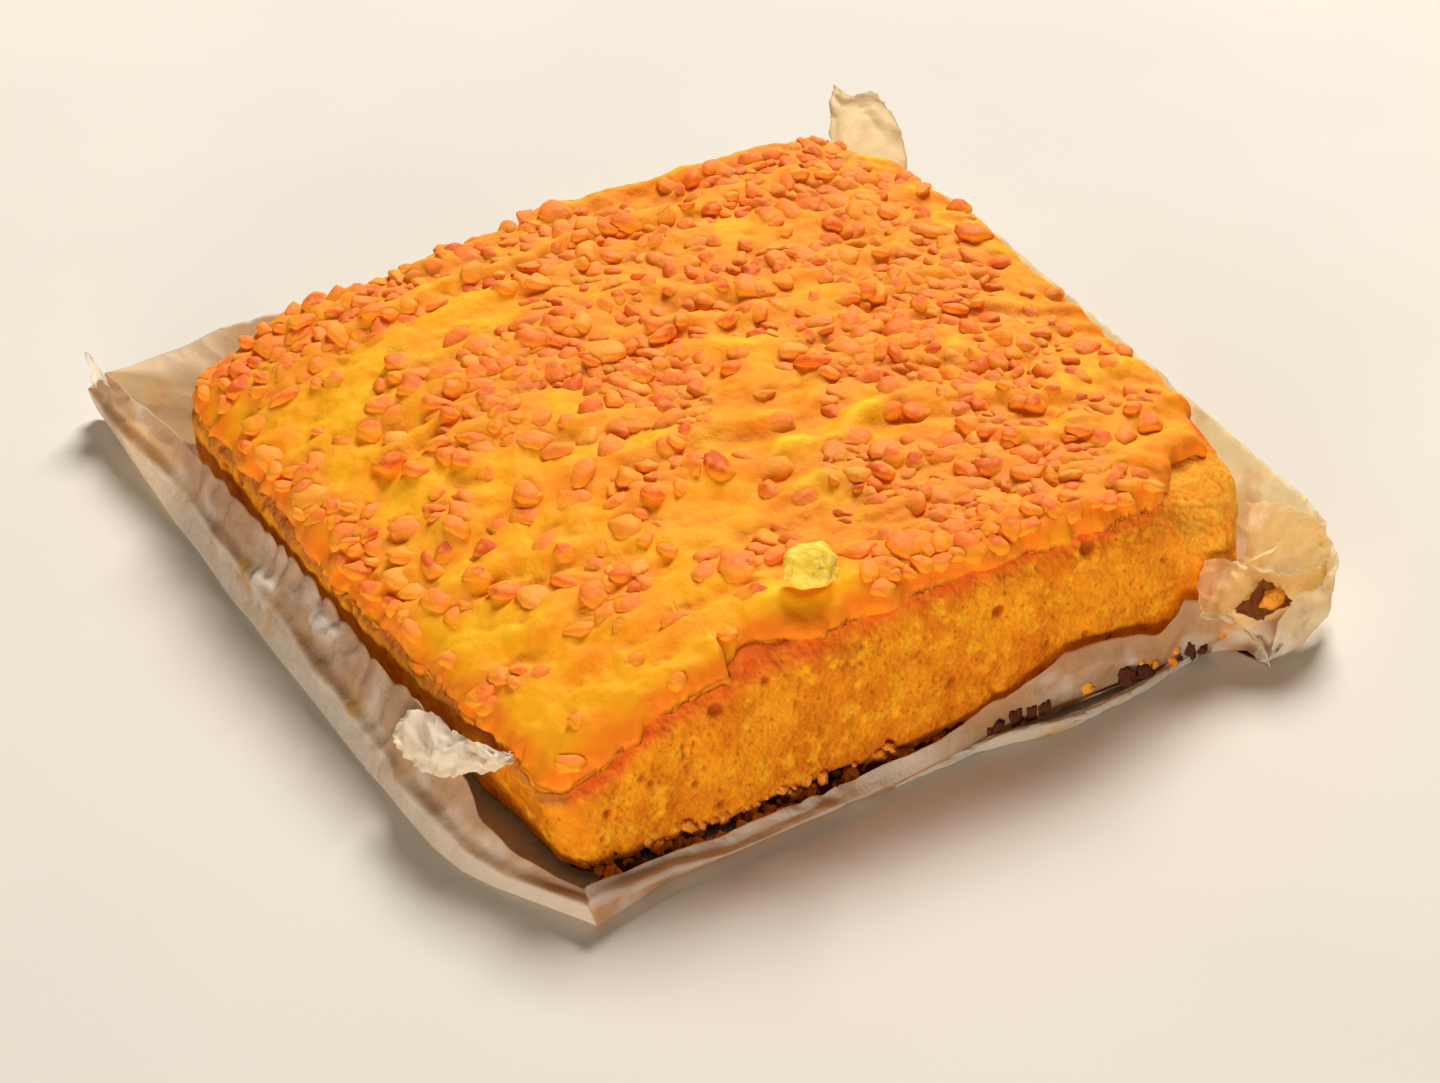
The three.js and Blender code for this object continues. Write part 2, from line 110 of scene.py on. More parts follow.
SMALL_NIB_SIZES = (0.85, 1.15)
SMALL_NIB_LARGEST = 4.9
SMALL_NIB_SMALLEST = 3
CLUMPS_ACROSS = 9
CLUMP_REACH = 5.5           # how far from a large nib small ones still heap up
LONE_NIBS = 0.03            # the share of places where a small nib lies away from the clumps
NIBS_AT_FRONT = 0.25        # and along the front edge, right of its middle
NIB_SPACING = 0.2           # how near small nibs lie, as a share of both their sizes
NIB_SUNK = 0.11             # as a share of a nib's size
NIB_COLLAR = 0.2            # how far the icing creeps up a nib
NIB_REACH = 9               # how far from a nib the icing still feels it
HEAP_RISE = 0.3             # how far the icing stands up between heaped nibs

# Loose crumbs
CRUMB = {"u": 0.375, "v": 0.055, "size": 3.2, "proportions": (1, 0.92, 0.8), "grid": 24}
FOLD_CRUMB_COUNT = 130
FOOT_CRUMB_COUNT = 150
FOLD_CRUMB_GRID = 5
FOLD_CRUMB_SMALLEST = 0.35
CORNER_CRUMB = {"place": (52.3, -50.2, 8.2), "radii": (2, 0.9, 1.7), "burnt": 0.2}    # in the torn paper

# The case's wall, as in the part's source: bottom fold, crease and rim at known places round the cake.
# A corner's lines have x, y and height from the foot's corner. A side's have the place along it, and then for
# each line how far out from the foot it is, and how high.
LINES = ("fold", "crease", "rim")
WALL_CORNERS = [
    {"fold": (-1.8, -7.9, 0), "crease": (-2.2, -7.2, 4), "rim": (-1.2, -4.2, 3.9)},
    {"fold": (-2, -7.6, 0), "crease": (8.4, -6, 6.2), "rim": (12, 0.4, 13.6)},
    {"fold": (2, 2, 0), "crease": (7, 7.5, 6.5), "rim": (10.5, 12, 15.5)},
    {"fold": (-5.6, 23.5, 0), "crease": (-6.4, 24.2, 4.8), "rim": (-4.6, 19.4, 9.5)},
]
WALL_SIDES = [
    [
        (0.1, (4.6, 0), (5.4, 2.8), (2.9, 3.3)), (0.18, (4.4, 0), (5.6, 2.2), (2.8, 2.7)),
        (0.33, (3.9, 0), (5, 2.2), (2.4, 2.9)),
        (0.5, (3.2, 0), (3.4, 1.6), (2.2, 4)), (0.6, (2.4, 0), (1.9, 1.3), (1.9, 6.4)),
        (0.69, (2.4, 0), (1.6, 1.3), (1.8, 10.2)), (0.78, (2.2, 0), (1.6, 1.3), (1.8, 9)),
        (0.84, (1.9, 0), (1.6, 1.3), (1.7, 7.2)), (0.88, (1.8, 0), (1.6, 1.4), (1.8, 11)),
        (0.915, (1.8, 0), (1.7, 1.5), (2, 9.6)), (0.94, (2.2, 0), (1.8, 2), (1.8, 12.8)),
        (0.98, (4.4, 0), (2.6, 3.4), (2, 13.8)),
    ],
    [
        (0.06, (1.6, 0), (8.5, 6.4), (12.4, 14.4)), (0.5, (1.6, 0), (7.7, 6.6), (14.1, 15)),
        (0.94, (2, 0), (8.4, 6.6), (15.6, 15.4)),
    ],
    [
        (0.1, (2, 0), (8.2, 6.6), (15, 15.2)),
        (0.5, (2, 0), (8, 6.6), (14.6, 14.8)), (0.9, (4, 0), (9.4, 6.4), (14.6, 15)),
        (0.95, (7, 0), (12, 6), (16.4, 12.4)),
    ],
    [
        (0.08, (7.2, 0), (5.6, 5.4), (3.6, 11.6)), (0.35, (9.2, 0), (7, 5.6), (3.9, 12)),
        (0.6, (10.5, 0), (9.2, 5), (5.4, 12)), (0.7, (10.9, 0), (9.6, 5), (5.8, 12.8)),
        (0.77, (11.4, 0), (10.4, 5), (6, 12.6)), (0.85, (11.4, 0), (10.4, 4.6), (6.6, 10)),
        (0.9, (10.6, 0), (9.8, 3.6), (7.2, 6.8)), (0.96, (8.3, 0), (7.6, 3), (5.9, 5.2)),
    ],
]
PAPER_STEPS = 230           # places along each side
PAPER_ROWS = (7, 9, 22)     # on the ground, up to the crease, up to the rim
PAPER_THICKNESS = 0.16
PAPER_LOWEST = 0.02         # over the floor
FLOOR_INSET = 7
RIM_SCALLOPS = (0.5, 0.5, 0.7, 2.1)    # how deep the rim's lobes are along each side
RIM_LOBES = (17, 20, 19, 21)           # and how many
WALL_SAG = 0.5
LEDGE = 0.45                # how far the left wall's crease stands out
LEDGE_WIDTH = 0.7
# The white crumpled strip on the left wall rises from a low place at its back to a high one at its front.
# It fades out between the two places across the slab that each end has.
CRUMPLED = {"slope": (21.7, 0.3), "height": (6.9, 10.3), "width": 1.3, "back": (27, 23), "front": (-4, 0)}
CREAM = 0.9                 # how buttery the paper looks along the right
TURN_HEIGHT = 0.9           # the bottom fold is round: it turns this high over the floor
TURN_UNDERCUT = 1.7
SCRAP_STEPS = (9, 10)       # places between two points of a rib, and between two ribs
SCRAP_RAGGED = 0.25

SPECULAR = 0.15             # of every surface: none is glossy

# The photograph's view, in the cake's frame
CAMERA_TARGET = np.array([-5.519, -4.503, 10])
CAMERA_DISTANCE = 456.6
CAMERA_ELEVATION = 36
CAMERA_AZIMUTH = -30.324
CAMERA_LENS = 85
CAMERA_SENSOR = 36

# Metres, watts and colours of the studio
FLOOR_SIZE = 6
KEY_LIGHT = {"direction": (0.7, 0.7, 1.06), "distance": 2, "size": (0.83, 0.83), "power": 56.8,
             "colour": (1, 0.975, 0.93)}
FILL_LIGHT = {"direction": (-0.66, -0.8, 0.13), "distance": 1.4, "size": (1, 0.26), "power": 15.4,
              "colour": (1, 0.9, 0.76)}
WORLD_COLOUR = (1, 0.86, 0.7, 1)
WORLD_STRENGTH = 0.1


def lerp(a, b, t):
    return a + (b - a) * t


def clamp01(x):
    return np.clip(x, 0, 1)


def smooth_step(start, end, x):
    t = clamp01((np.asarray(x, float) - start) / (end - start))
    return t * t * (3 - 2 * t)


def bump(x, width):
    return np.exp(-((x / width) ** 2))


def chance(seed):
    """A number from 0 to 1 that is always the same for the same seed."""
    s = np.sin(np.asarray(seed, float) * 12.9898 + 4.1) * 43758.5453
    return s - np.floor(s)


def unevenness(x, y, seed):
    """Smooth unevenness from -1 to 1 over a square lattice of unit cells."""
    x, y = np.broadcast_arrays(np.asarray(x, float), np.asarray(y, float))
    column, row = np.floor(x), np.floor(y)
    s, t = smooth_step(0, 1, x - column), smooth_step(0, 1, y - row)

    def corner(i, j):
        return chance(column + i + (row + j) * 57 + seed * 131) * 2 - 1

    return lerp(lerp(corner(0, 0), corner(1, 0), s), lerp(corner(0, 1), corner(1, 1), s), t)


def cell_draw(cells, seed):
    """A number from 0 to 1 for each whole-numbered cell of space."""
    i, j, k = (cells[..., axis].astype(np.int64) for axis in range(3))
    mixed = (i * 73856093) ^ (j * 19349663) ^ (k * 83492791) ^ (seed * 2654435761)
    mixed = ((mixed ^ (mixed >> 13)) * 1274126177) & 0x7FFFFFFF
    return ((mixed ^ (mixed >> 9)) % 65536) / 65536


def roughness_in_space(points, seed):
    """Smooth unevenness from -1 to 1 in space."""
    cells = np.floor(points)
    share = points - cells
    share = share * share * (3 - 2 * share)
    total = 0
    for corner in np.ndindex(2, 2, 2):
        offset = np.array(corner)
        weight = np.prod(np.where(offset == 1, share, 1 - share), axis=-1)
        total = total + weight * (cell_draw(cells + offset, seed) * 2 - 1)
    return total


def nearest_seed(points, seed):
    """Distance to the nearest of one seed point in each cell of space, and that cell's own draw."""
    cells = np.floor(points)
    nearest = np.full(points.shape[:-1], 9.0)
    draw = np.zeros(points.shape[:-1])
    for corner in np.ndindex(3, 3, 3):
        cell = cells + np.array(corner) - 1
        place = cell + np.stack([cell_draw(cell, seed + axis) for axis in range(3)], -1)
        distance = np.linalg.norm(points - place, axis=-1)
        closer = distance < nearest
        nearest = np.where(closer, distance, nearest)
        draw = np.where(closer, cell_draw(cell, seed + 7), draw)
    return nearest, draw


# The slab's form, as in the part's source


def round_corners(u, v):
    x, y = np.array(u, float), np.array(v, float)
    for corner, radius in enumerate(CORNER_RADII):
        right, back = corner in (1, 2), corner >= 2
        a = (u - 1 if right else -u) / radius + 1
        b = (v - 1 if back else -v) / radius + 1
        inside = (a > 0) & (b > 0)
        pull = np.where(inside, 1 - np.maximum(a, b) / np.maximum(np.hypot(a, b), 1e-9), 0)
        x = x - (1 if right else -1) * a * radius * pull
        y = y - (1 if back else -1) * b * radius * pull
    return x, y


def between_corners(corners, u, v):
    front = lerp(corners[0][:, None], corners[1][:, None], u.ravel())
    back = lerp(corners[3][:, None], corners[2][:, None], u.ravel())
    x, y = lerp(front, back, v.ravel())
    return x.reshape(u.shape), y.reshape(u.shape)


def plan_point(u, v, w):
    """Where a place of the slab lies: u from left to right, v from front to back, w from foot to crust."""
    u, v, w = np.broadcast_arrays(np.asarray(u, float), np.asarray(v, float), np.asarray(w, float))
    a, b = round_corners(u, v)
    bulge = np.sin(np.pi * clamp01(v)) * (0.35 + 0.65 * w)
    foot_x, foot_y = between_corners(FOOT_CORNERS, a, b)
    crust_x, crust_y = between_corners(CRUST_CORNERS, a, b)
    x, y = lerp(foot_x, crust_x, w), lerp(foot_y, crust_y, w)
    x = x + bulge * (RIGHT_BULGE * a - LEFT_BULGE * (1 - a) * (0.6 + 0.5 * b))
    x = x + OUTLINE_WOBBLE * unevenness(y / 13, w, 1)
    y = y + OUTLINE_WOBBLE * unevenness(x / 13, w, 2)
    return x, y


def crust_height(u, v):
    z = CRUST_LEFT + CRUST_STEEP_RISE * (1 - np.exp(-((np.maximum(u, 0) / 0.16) ** 1.6)))
    z = z + CRUST_SLOW_RISE * u + CRUST_BACK_RISE * v - CRUST_RIGHT_DROP * smooth_step(0.82, 1, u)
    edge = np.minimum(np.minimum(u, v), np.minimum(1 - u, 1 - v))
    z = z - EDGE_DROP * bump(edge, 0.022)
    for corner, drop in enumerate(CORNER_DROPS):
        across = 1 - u if corner in (1, 2) else u
        along = 1 - v if corner >= 2 else v
        z = z - drop * bump(np.hypot(across, along), 0.11)
    return z + CRUST_UNEVENNESS * unevenness(u * 6, v * 6, 3)


def ridge(x, y):
    """The icing's ridges, 0 in a trough and 1 on a crest."""
    bend = (x - RIDGE_BEND_CENTRE) ** 2 / (2 * RIDGE_BEND_RADIUS)
    wander = 0.55 * unevenness(x / 17, y / 12, 4) + 0.2 * unevenness(x / 7, y / 7, 5)
    wave = 0.5 + 0.5 * np.cos(2 * np.pi * ((y + bend) / RIDGE_SPACING + wander))
    strength = 0.62 + 0.38 * unevenness(x / 15, y / 11, 6)
    return strength * wave**1.3 + 0.3 * (0.5 + 0.5 * unevenness(x / 4.5, y / 3.6, 7))


def front_inset(u):
    step = smooth_step(BARE_STEP["from"], BARE_STEP["from"] + 0.012, u)
    step = step * (1 - smooth_step(0.3, BARE_STEP["to"], u))
    corner = smooth_step(BROKEN_CORNER["from"], 0.93, u)
    ragged = 0.5 * np.abs(unevenness(u * 22, 0, 8))
    return ICING_INSET + BARE_STEP["depth"] * step + BROKEN_CORNER["depth"] * corner + ragged


def back_inset(u):
    notch = smooth_step(BACK_NOTCH["from"] - 0.05, BACK_NOTCH["from"], u)
    notch = notch * (1 - smooth_step(BACK_NOTCH["to"], BACK_NOTCH["to"] + 0.03, u))
    return ICING_INSET + BACK_NOTCH["depth"] * notch + 0.4 * np.abs(unevenness(u * 20, 0, 9))


def icing_place(s, t):
    side = (ICING_INSET + 0.5 * np.abs(unevenness(0, t * 20, 10))) / SLAB_SIDE
    broken = BROKEN_CORNER["depth"] * 0.35 * (1 - smooth_step(0.02, 0.12, t)) / SLAB_SIDE
    u = lerp(side, 1 - side - broken, s)
    return u, lerp(front_inset(u) / SLAB_SIDE, 1 - back_inset(u) / SLAB_SIDE, t)


def icing_height(u, v):
    x, y = plan_point(u, v, 1)
    return crust_height(u, v) + GAP + ICING_THICKNESS + RIDGE_HEIGHT * (ridge(x, y) - 0.3)


def crowd_ends(t, share):
    return t - share * np.sin(2 * np.pi * t) / (2 * np.pi)


def turned_in(height):
    """How far the slab's foot and crust turn in from its sides, as a share of its width."""
    return 0.012 * (bump(height, 0.06) + bump(1 - height, 0.08))


# Meshes


def frame_shift():
    """From the cake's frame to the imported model's, found from the solid sponge's lowest corner."""
    s, t = np.meshgrid(crowd_ends(np.arange(17) / 16, 0.65), crowd_ends(np.arange(15) / 14, 0.65))
    corners = []
    for layer in range(6):
        height = clamp01(smooth_step(-0.12, 1.12, layer / 5) * 1.06 - 0.03)
        turned = turned_in(height)
        x, y = plan_point(lerp(turned, 1 - turned, s), lerp(turned, 1 - turned, t), height)
        corners.append([x.min(), y.min()])
    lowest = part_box("sponge")[0]
    return np.array([*(np.array(lowest[:2]) * 1000 - np.min(corners, axis=0)), 0])


SHIFT = frame_shift()


def grid_faces(rows, columns, closed=False):
    """Triangles of a grid of points, row after row; closed joins each row's end to its start."""
    across = columns if closed else columns - 1
    row, column = np.meshgrid(np.arange(rows - 1), np.arange(across), indexing="ij")
    here = row * columns + column
    there = row * columns + (column + 1) % columns
    quads = np.stack([here, there, there + columns, here + columns], -1).reshape(-1, 4)
    return np.concatenate([quads[:, [0, 1, 2]], quads[:, [0, 2, 3]]])


def copies(faces, count, each):
    """The triangles of count shapes with the same triangles, of each points apiece."""
    return (faces[None] + np.arange(count)[:, None, None] * each).reshape(-1, 3)


def edge_strip(ring, total, flip):
    """Triangles from a ring of points to the same ring of a sheet's back, total places further on."""
    there = np.roll(ring, -1)
    back = [np.stack([ring, there, there + total], -1), np.stack([ring, there + total, ring + total], -1)]
    return np.concatenate(back)[:, ::-1] if flip else np.concatenate(back)


def vertex_normals(points, faces):
    a, b, c = (points[faces[:, corner]] for corner in range(3))
    across = np.cross(b - a, c - a)
    normals = np.zeros_like(points)
    for corner in range(3):
        for axis in range(3):
            normals[:, axis] += np.bincount(faces[:, corner], across[:, axis], len(points))
    return normals / np.maximum(np.linalg.norm(normals, axis=1, keepdims=True), 1e-12)


def add_piece(name, points, faces, material, replaces=None, attributes=None):
    """One mesh piece from points in millimetres in the cake's frame."""
    mesh = bpy.data.meshes.new(name)
    mesh.vertices.add(len(points))
    mesh.vertices.foreach_set("co", ((points + SHIFT) / 1000).astype(np.float32).ravel())
    mesh.loops.add(faces.size)
    mesh.loops.foreach_set("vertex_index", faces.astype(np.int32).ravel())
    mesh.polygons.add(len(faces))
    mesh.polygons.foreach_set("loop_start", np.arange(len(faces), dtype=np.int32) * 3)
    mesh.polygons.foreach_set("use_smooth", np.ones(len(faces), bool))
    mesh.update(calc_edges=True)
    for label, values in (attributes or {}).items():
        layer = mesh.attributes.new(label, "FLOAT", "POINT")
        layer.data.foreach_set("value", np.asarray(values, np.float32))
    mesh.materials.append(material)
    piece = bpy.data.objects.new(name, mesh)
    bpy.context.scene.collection.objects.link(piece)
    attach(piece, "root")
    if replaces:
        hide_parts(replaces)
    return piece


# Materials


def paint(red, green, blue):
    """A colour from its 0 to 255 screen values."""
    def linear(c):
        return ((c / 255 + 0.055) / 1.055) ** 2.4 if c > 10 else c / 255 / 12.92

    return linear(red), linear(green), linear(blue), 1


class Shader:
    """One material, built node by node. A node is fed with numbers, colours and other nodes' outputs."""

    def __init__(self, name):
        self.material = bpy.data.materials.new(name)
        self.material.use_nodes = True
        self.tree = self.material.node_tree
        self.tree.nodes.clear()
        place = self.make("ShaderNodeTexCoord", "Object", {})
        self.millimetres = self.make("ShaderNodeVectorMath", 0, {0: place, "Scale": 1000}, operation="SCALE")

    def make(self, kind, output, inputs, **settings):
        """The output that is asked for of a new node, with its settings made and its inputs fed."""
        node = self.tree.nodes.new(kind)
        for key, value in settings.items():
            setattr(node, key, value)
        for socket, value in inputs.items():
            if isinstance(value, bpy.types.NodeSocket):
                self.tree.links.new(value, node.inputs[socket])
            else:
                node.inputs[socket].default_value = value
        return node.outputs[output]

    def attribute(self, name):
        return self.make("ShaderNodeAttribute", "Fac", {}, attribute_name=name)

    def noise(self, period, detail=2, roughness=0.5):
        """Noise from 0 to 1 whose features are about period millimetres across."""
        inputs = {"Vector": self.millimetres, "Scale": 1 / period, "Detail": detail, "Roughness": roughness}
        return self.make("ShaderNodeTexNoise", "Fac", inputs)

    def cells(self, period):
        """Distance to the middle of the nearest of many cells, about period millimetres apart."""
        inputs = {"Vector": self.millimetres, "Scale": 1 / period}
        return self.make("ShaderNodeTexVoronoi", "Distance", inputs)

    def range(self, value, low, high, out_low=0, out_high=1):
        inputs = dict(enumerate((value, low, high, out_low, out_high)))
        return self.make("ShaderNodeMapRange", "Result", inputs, interpolation_type="SMOOTHSTEP")

    def math(self, operation, a, b):
        return self.make("ShaderNodeMath", 0, {0: a, 1: b}, operation=operation)

    def times(self, a, b):
        return self.math("MULTIPLY", a, b)

    def frayed(self, value, period, detail, roughness, amount):
        """A value made uneven, by amount from its least to its most."""
        swing = self.math("SUBTRACT", self.noise(period, detail, roughness), 0.5)
        return self.math("ADD", value, self.times(swing, amount))

    def mix(self, factor, a, b):
        return self.make("ShaderNodeMix", 2, {0: factor, 6: a, 7: b}, data_type="RGBA")

    def mottled(self, a, b, period, detail, low, high, roughness=0.5):
        """Two colours in patches: a where the noise is under low, b where it is over high."""
        return self.mix(self.range(self.noise(period, detail, roughness), low, high), a, b)

    def bump(self, height, distance):
        return self.make("ShaderNodeBump", "Normal", {"Height": height, "Distance": distance / 1000})

    def surface(self, colour, normal, roughness, subsurface=0, depth=1, radius=(1, 0.5, 0.2)):
        """A matt surface. A share of the light goes in, as deep as depth millimetres times its radius."""
        inputs = {
            "Base Color": colour, "Roughness": roughness, "Specular IOR Level": SPECULAR,
            "Subsurface Weight": subsurface, "Subsurface Scale": depth / 1000, "Subsurface Radius": radius,
        }
        if normal is not None:
            inputs["Normal"] = normal
        return self.make("ShaderNodeBsdfPrincipled", "BSDF", inputs)

    def finish(self, surface):
        output = self.tree.nodes.new("ShaderNodeOutputMaterial")
        self.tree.links.new(surface, output.inputs["Surface"])
        return self.material


def sponge_material():
    s = Shader("sponge_crumb")
    crumb = s.mottled(paint(222, 122, 14), paint(244, 152, 24), 8, 4, 0.4, 0.62, 0.6)
    crumb = s.mottled(crumb, paint(250, 172, 30), 2.4, 3, 0.48, 0.72)
    # Darker in the pores, both in small painted spots and in the hollows cut into the crumb: painted shade.
    crumb = s.mix(s.range(s.cells(1.6), 0.28, 0), crumb, paint(202, 98, 10))
    crumb = s.mix(s.range(s.attribute("hollow"), 0.05, 0.6), crumb, paint(184, 84, 10))
    # The broken-off corner's bare crumb, painted lighter as though light shone through it: painted light.
    broken_crumb_painted_light = s.mottled(paint(255, 160, 40), paint(255, 182, 58), 2.4, 4, 0.4, 0.65)
    crust = s.mottled(paint(244, 124, 34), paint(236, 100, 28), 2.5, 4, 0.35, 0.65)
    left = s.mottled(paint(208, 130, 46), paint(178, 100, 36), 2.5, 4, 0.35, 0.65)
    crust = s.mix(s.attribute("left"), crust, left)
    base = s.mottled(paint(78, 36, 18), paint(150, 74, 26), 1.6, 3, 0.35, 0.7)
    browned = s.frayed(s.attribute("crust"), 3, 4, 0.5, 0.9)
    above_base = s.frayed(s.attribute("height"), 3.5, 5, 0.6, 0.3)
    colour = s.mix(s.attribute("broken"), crumb, broken_crumb_painted_light)
    colour = s.mix(s.range(browned, 0.25, 0.95), colour, crust)
    colour = s.mix(s.range(above_base, 0.12, 0.03), colour, base)
    fine = s.math("ADD", s.noise(0.7, 5, 0.65), s.times(s.cells(0.9), 0.7))
    inward = s.range(s.attribute("broken"), 0, 1, 0.25, 0.05)
    return s.finish(s.surface(colour, s.bump(fine, 0.32), 0.85, inward, 1.6))


def icing_material():
    s = Shader("icing_lemon")
    crest = s.attribute("crest")
    amber = s.mottled(paint(255, 148, 20), paint(255, 175, 22), 11, 3, 0.38, 0.62)
    colour = s.mix(s.range(crest, 0.05, 0.35), paint(255, 152, 18), amber)
    yellow = s.mottled(paint(255, 184, 24), paint(252, 176, 24), 5, 3, 0.4, 0.6)
    colour = s.mix(s.times(s.attribute("lemon"), s.range(s.noise(7), 0.3, 0.6)), colour, yellow)
    # The highest parts of the ridges are painted lighter: a painted highlight.
    colour = s.mix(s.range(crest, 0.8, 1.3), colour, paint(255, 196, 34))
    # More orange where the nibs lie thick: painted shade between them.
    colour = s.mix(s.times(s.attribute("heap"), 0.7), colour, paint(250, 146, 40))
    rim = s.times(s.attribute("rim"), s.range(s.noise(3, 3), 0.3, 0.55, 0.4, 1))
    colour = s.mix(rim, colour, paint(250, 134, 24))
    fine = s.math("ADD", s.noise(1.4, 4, 0.6), s.times(s.noise(4), 0.8))
    return s.finish(s.surface(colour, s.bump(fine, 0.24), 0.68, 0.4, 1, (1, 0.8, 0.6)))


def nib_material():
    """Roasted nibs: each has a tone of its own, and glaze where its foot sits in the icing."""
    s = Shader("nut_nib")
    tone = s.attribute("tone")
    colour = s.mix(s.range(tone, 0.3, 0.75), paint(255, 144, 54), paint(248, 124, 44))
    colour = s.mix(s.range(tone, 0.84, 0.98), colour, paint(224, 96, 24))
    colour = s.mix(s.range(tone, 0.1, 0.05), colour, paint(254, 172, 96))
    colour = s.mottled(colour, paint(255, 146, 60), 1.6, 4, 0.45, 0.75)
    glaze = s.times(s.range(s.attribute("bare"), 0.55, 0.1), 0.85)
    glaze = s.math("MAXIMUM", glaze, s.range(tone, 0.24, 0.1, 0, 0.7))
    colour = s.mix(glaze, colour, paint(255, 160, 34))
    return s.finish(s.surface(colour, s.bump(s.noise(0.9, 4), 0.2), 0.6, 0.25, 0.5, (1, 0.8, 0.65)))


def crumb_material():
    s = Shader("loose_crumb")
    colour = s.mottled(paint(255, 206, 58), paint(255, 226, 104), 1.6, 3, 0.35, 0.65)
    return s.finish(s.surface(colour, s.bump(s.noise(0.6, 4), 0.4), 0.8, 0.15, 0.5))


def fold_crumb_material():
    s = Shader("fold_crumb")
    golden = s.mottled(paint(222, 130, 34), paint(242, 160, 60), 1.2, 3, 0.35, 0.65)
    colour = s.mix(s.range(s.attribute("burnt"), 0.45, 0.55), golden, paint(84, 42, 26))
    return s.finish(s.surface(colour, s.bump(s.noise(0.5, 4), 0.3), 0.85, 0.2))


def paper_material():
    """Greaseproof paper that light shines through, most of all where it is buttery."""
    s = Shader("case_paper")
    white = s.attribute("white")
    colour = s.mottled(paint(238, 231, 222), paint(247, 242, 234), 6, 4, 0.35, 0.7)
    # Brown stains on the outer face together with painted shade, all painted shade under the crease front
    # left.
    tan = s.times(s.attribute("tan"), s.range(s.noise(9, 3), 0.25, 0.5))
    colour = s.mix(tan, colour, paint(204, 161, 120))
    stain = s.times(s.attribute("grease"), s.range(s.noise(6, 4, 0.6), 0.46, 0.66))
    colour = s.mix(stain, colour, paint(222, 176, 92))
    cream = s.times(s.attribute("cream"), s.range(s.noise(7, 3), 0.3, 0.5, 0.45, 1))
    colour = s.mix(white, colour, paint(253, 251, 246))
    colour = s.mix(cream, colour, paint(255, 238, 196))
    # Painted shade: dark brown along the bottom fold before the front right, and on the dark sheet in the
    # torn hole there.
    colour = s.mix(s.attribute("painted_shade"), colour, paint(136, 76, 36))
    normal = s.bump(s.math("ADD", s.noise(1.1, 4), s.noise(3.2)), 0.22)
    sheet = s.surface(colour, normal, 0.6)
    warm = s.mix(s.range(white, 0, 1, 0.5, 0.1), colour, paint(250, 226, 170))
    glow = s.mix(cream, warm, paint(255, 247, 222))
    through = s.make("ShaderNodeBsdfTranslucent", "BSDF", {"Color": glow, "Normal": normal})
    share = s.range(cream, 0, 1, 0.5, 0.92)
    return s.finish(s.make("ShaderNodeMixShader", 0, {0: share, 1: sheet, 2: through}))


def floor_material():
    s = Shader("pale_floor")
    colour = s.mottled(paint(225, 219, 209), paint(222, 216, 206), 60, 2, 0.3, 0.7)
    return s.finish(s.surface(colour, None, 0.8))


# The sponge


def edge_places(count):
    """Places round the edge of the unit square, from its front left corner."""
    p = np.arange(count) / count * 4
    side, t = np.floor(p).astype(int), p % 1
    zero = np.zeros_like(t)
    return np.choose(side, [t, zero + 1, 1 - t, zero]), np.choose(side, [zero, t, zero + 1, 1 - t])


def crumb_relief(points):
    """How far the crumb stands out at each point, and how deep in a pore the point lies."""
    out = sum(height * roughness_in_space(points / width, seed) for height, width, seed in CRUMB_GRAIN)
    hollow = np.zeros(len(points))
    for cell, radius, share, seed in PORES:
        distance, draw = nearest_seed(points / cell, seed)
        reach = radius * (0.45 + 0.55 * draw)
        dip = np.sqrt(clamp01(1 - (distance * cell / reach) ** 2)) * reach * 0.75
        hollow = np.maximum(hollow, np.where((draw * 7.3) % 1 < share, dip, 0))
    return out - hollow, hollow


def broken_share(u, v):
    """How far the crust is broken off at the front right corner, 0 to 1."""
    return smooth_step(BROKEN_CORNER["from"] - 0.03, 0.93, u) * smooth_step(0.14, 0.05, v)


def slab_rings():
    """Rings round the slab from under its foot to its crust: how far in each lies, and how high, 0 to 1."""
    rings = [(inset, 0) for inset in (0.3, 0.1, 0.03)]
    rings += [(turned_in(height), height) for height in np.linspace(0, 1, SPONGE_LAYERS)]
    return rings + [(inset, 1) for inset in (*np.linspace(0.017, 0.11, 16), 0.2, 0.35)]


def slab_mesh():
    """The plain slab: its points and triangles, and each point's own u, v and height, from 0 to 1."""
    rings = slab_rings()
    inset, height = (np.array(values, float)[:, None] for values in zip(*rings))
    u, v = (lerp(inset, 1 - inset, place) for place in edge_places(SPONGE_AROUND))
    x, y = plan_point(u, v, height)
    z = lerp(SPONGE_BASE, crust_height(u, v), height)
    middle_x, middle_y = plan_point(0.5, 0.5, 0)
    ends = [[middle_x, middle_y, SPONGE_BASE], [middle_x, middle_y, crust_height(0.5, 0.5)]]
    points = np.concatenate([np.stack([x, y, z], -1).reshape(-1, 3), ends])
    ring, below, above = np.arange(SPONGE_AROUND), len(points) - 2, len(points) - 1
    there, last = np.roll(ring, -1), (len(rings) - 1) * SPONGE_AROUND
    under = np.stack([np.full(SPONGE_AROUND, below), there, ring], -1)
    over = np.stack([np.full(SPONGE_AROUND, above), last + ring, last + there], -1)
    faces = np.concatenate([grid_faces(len(rings), SPONGE_AROUND, closed=True), under, over])
    height = np.append(np.repeat(height[:, 0], SPONGE_AROUND), [0, 1])
    return points, faces, np.append(u.ravel(), [0.5, 0.5]), np.append(v.ravel(), [0.5, 0.5]), height


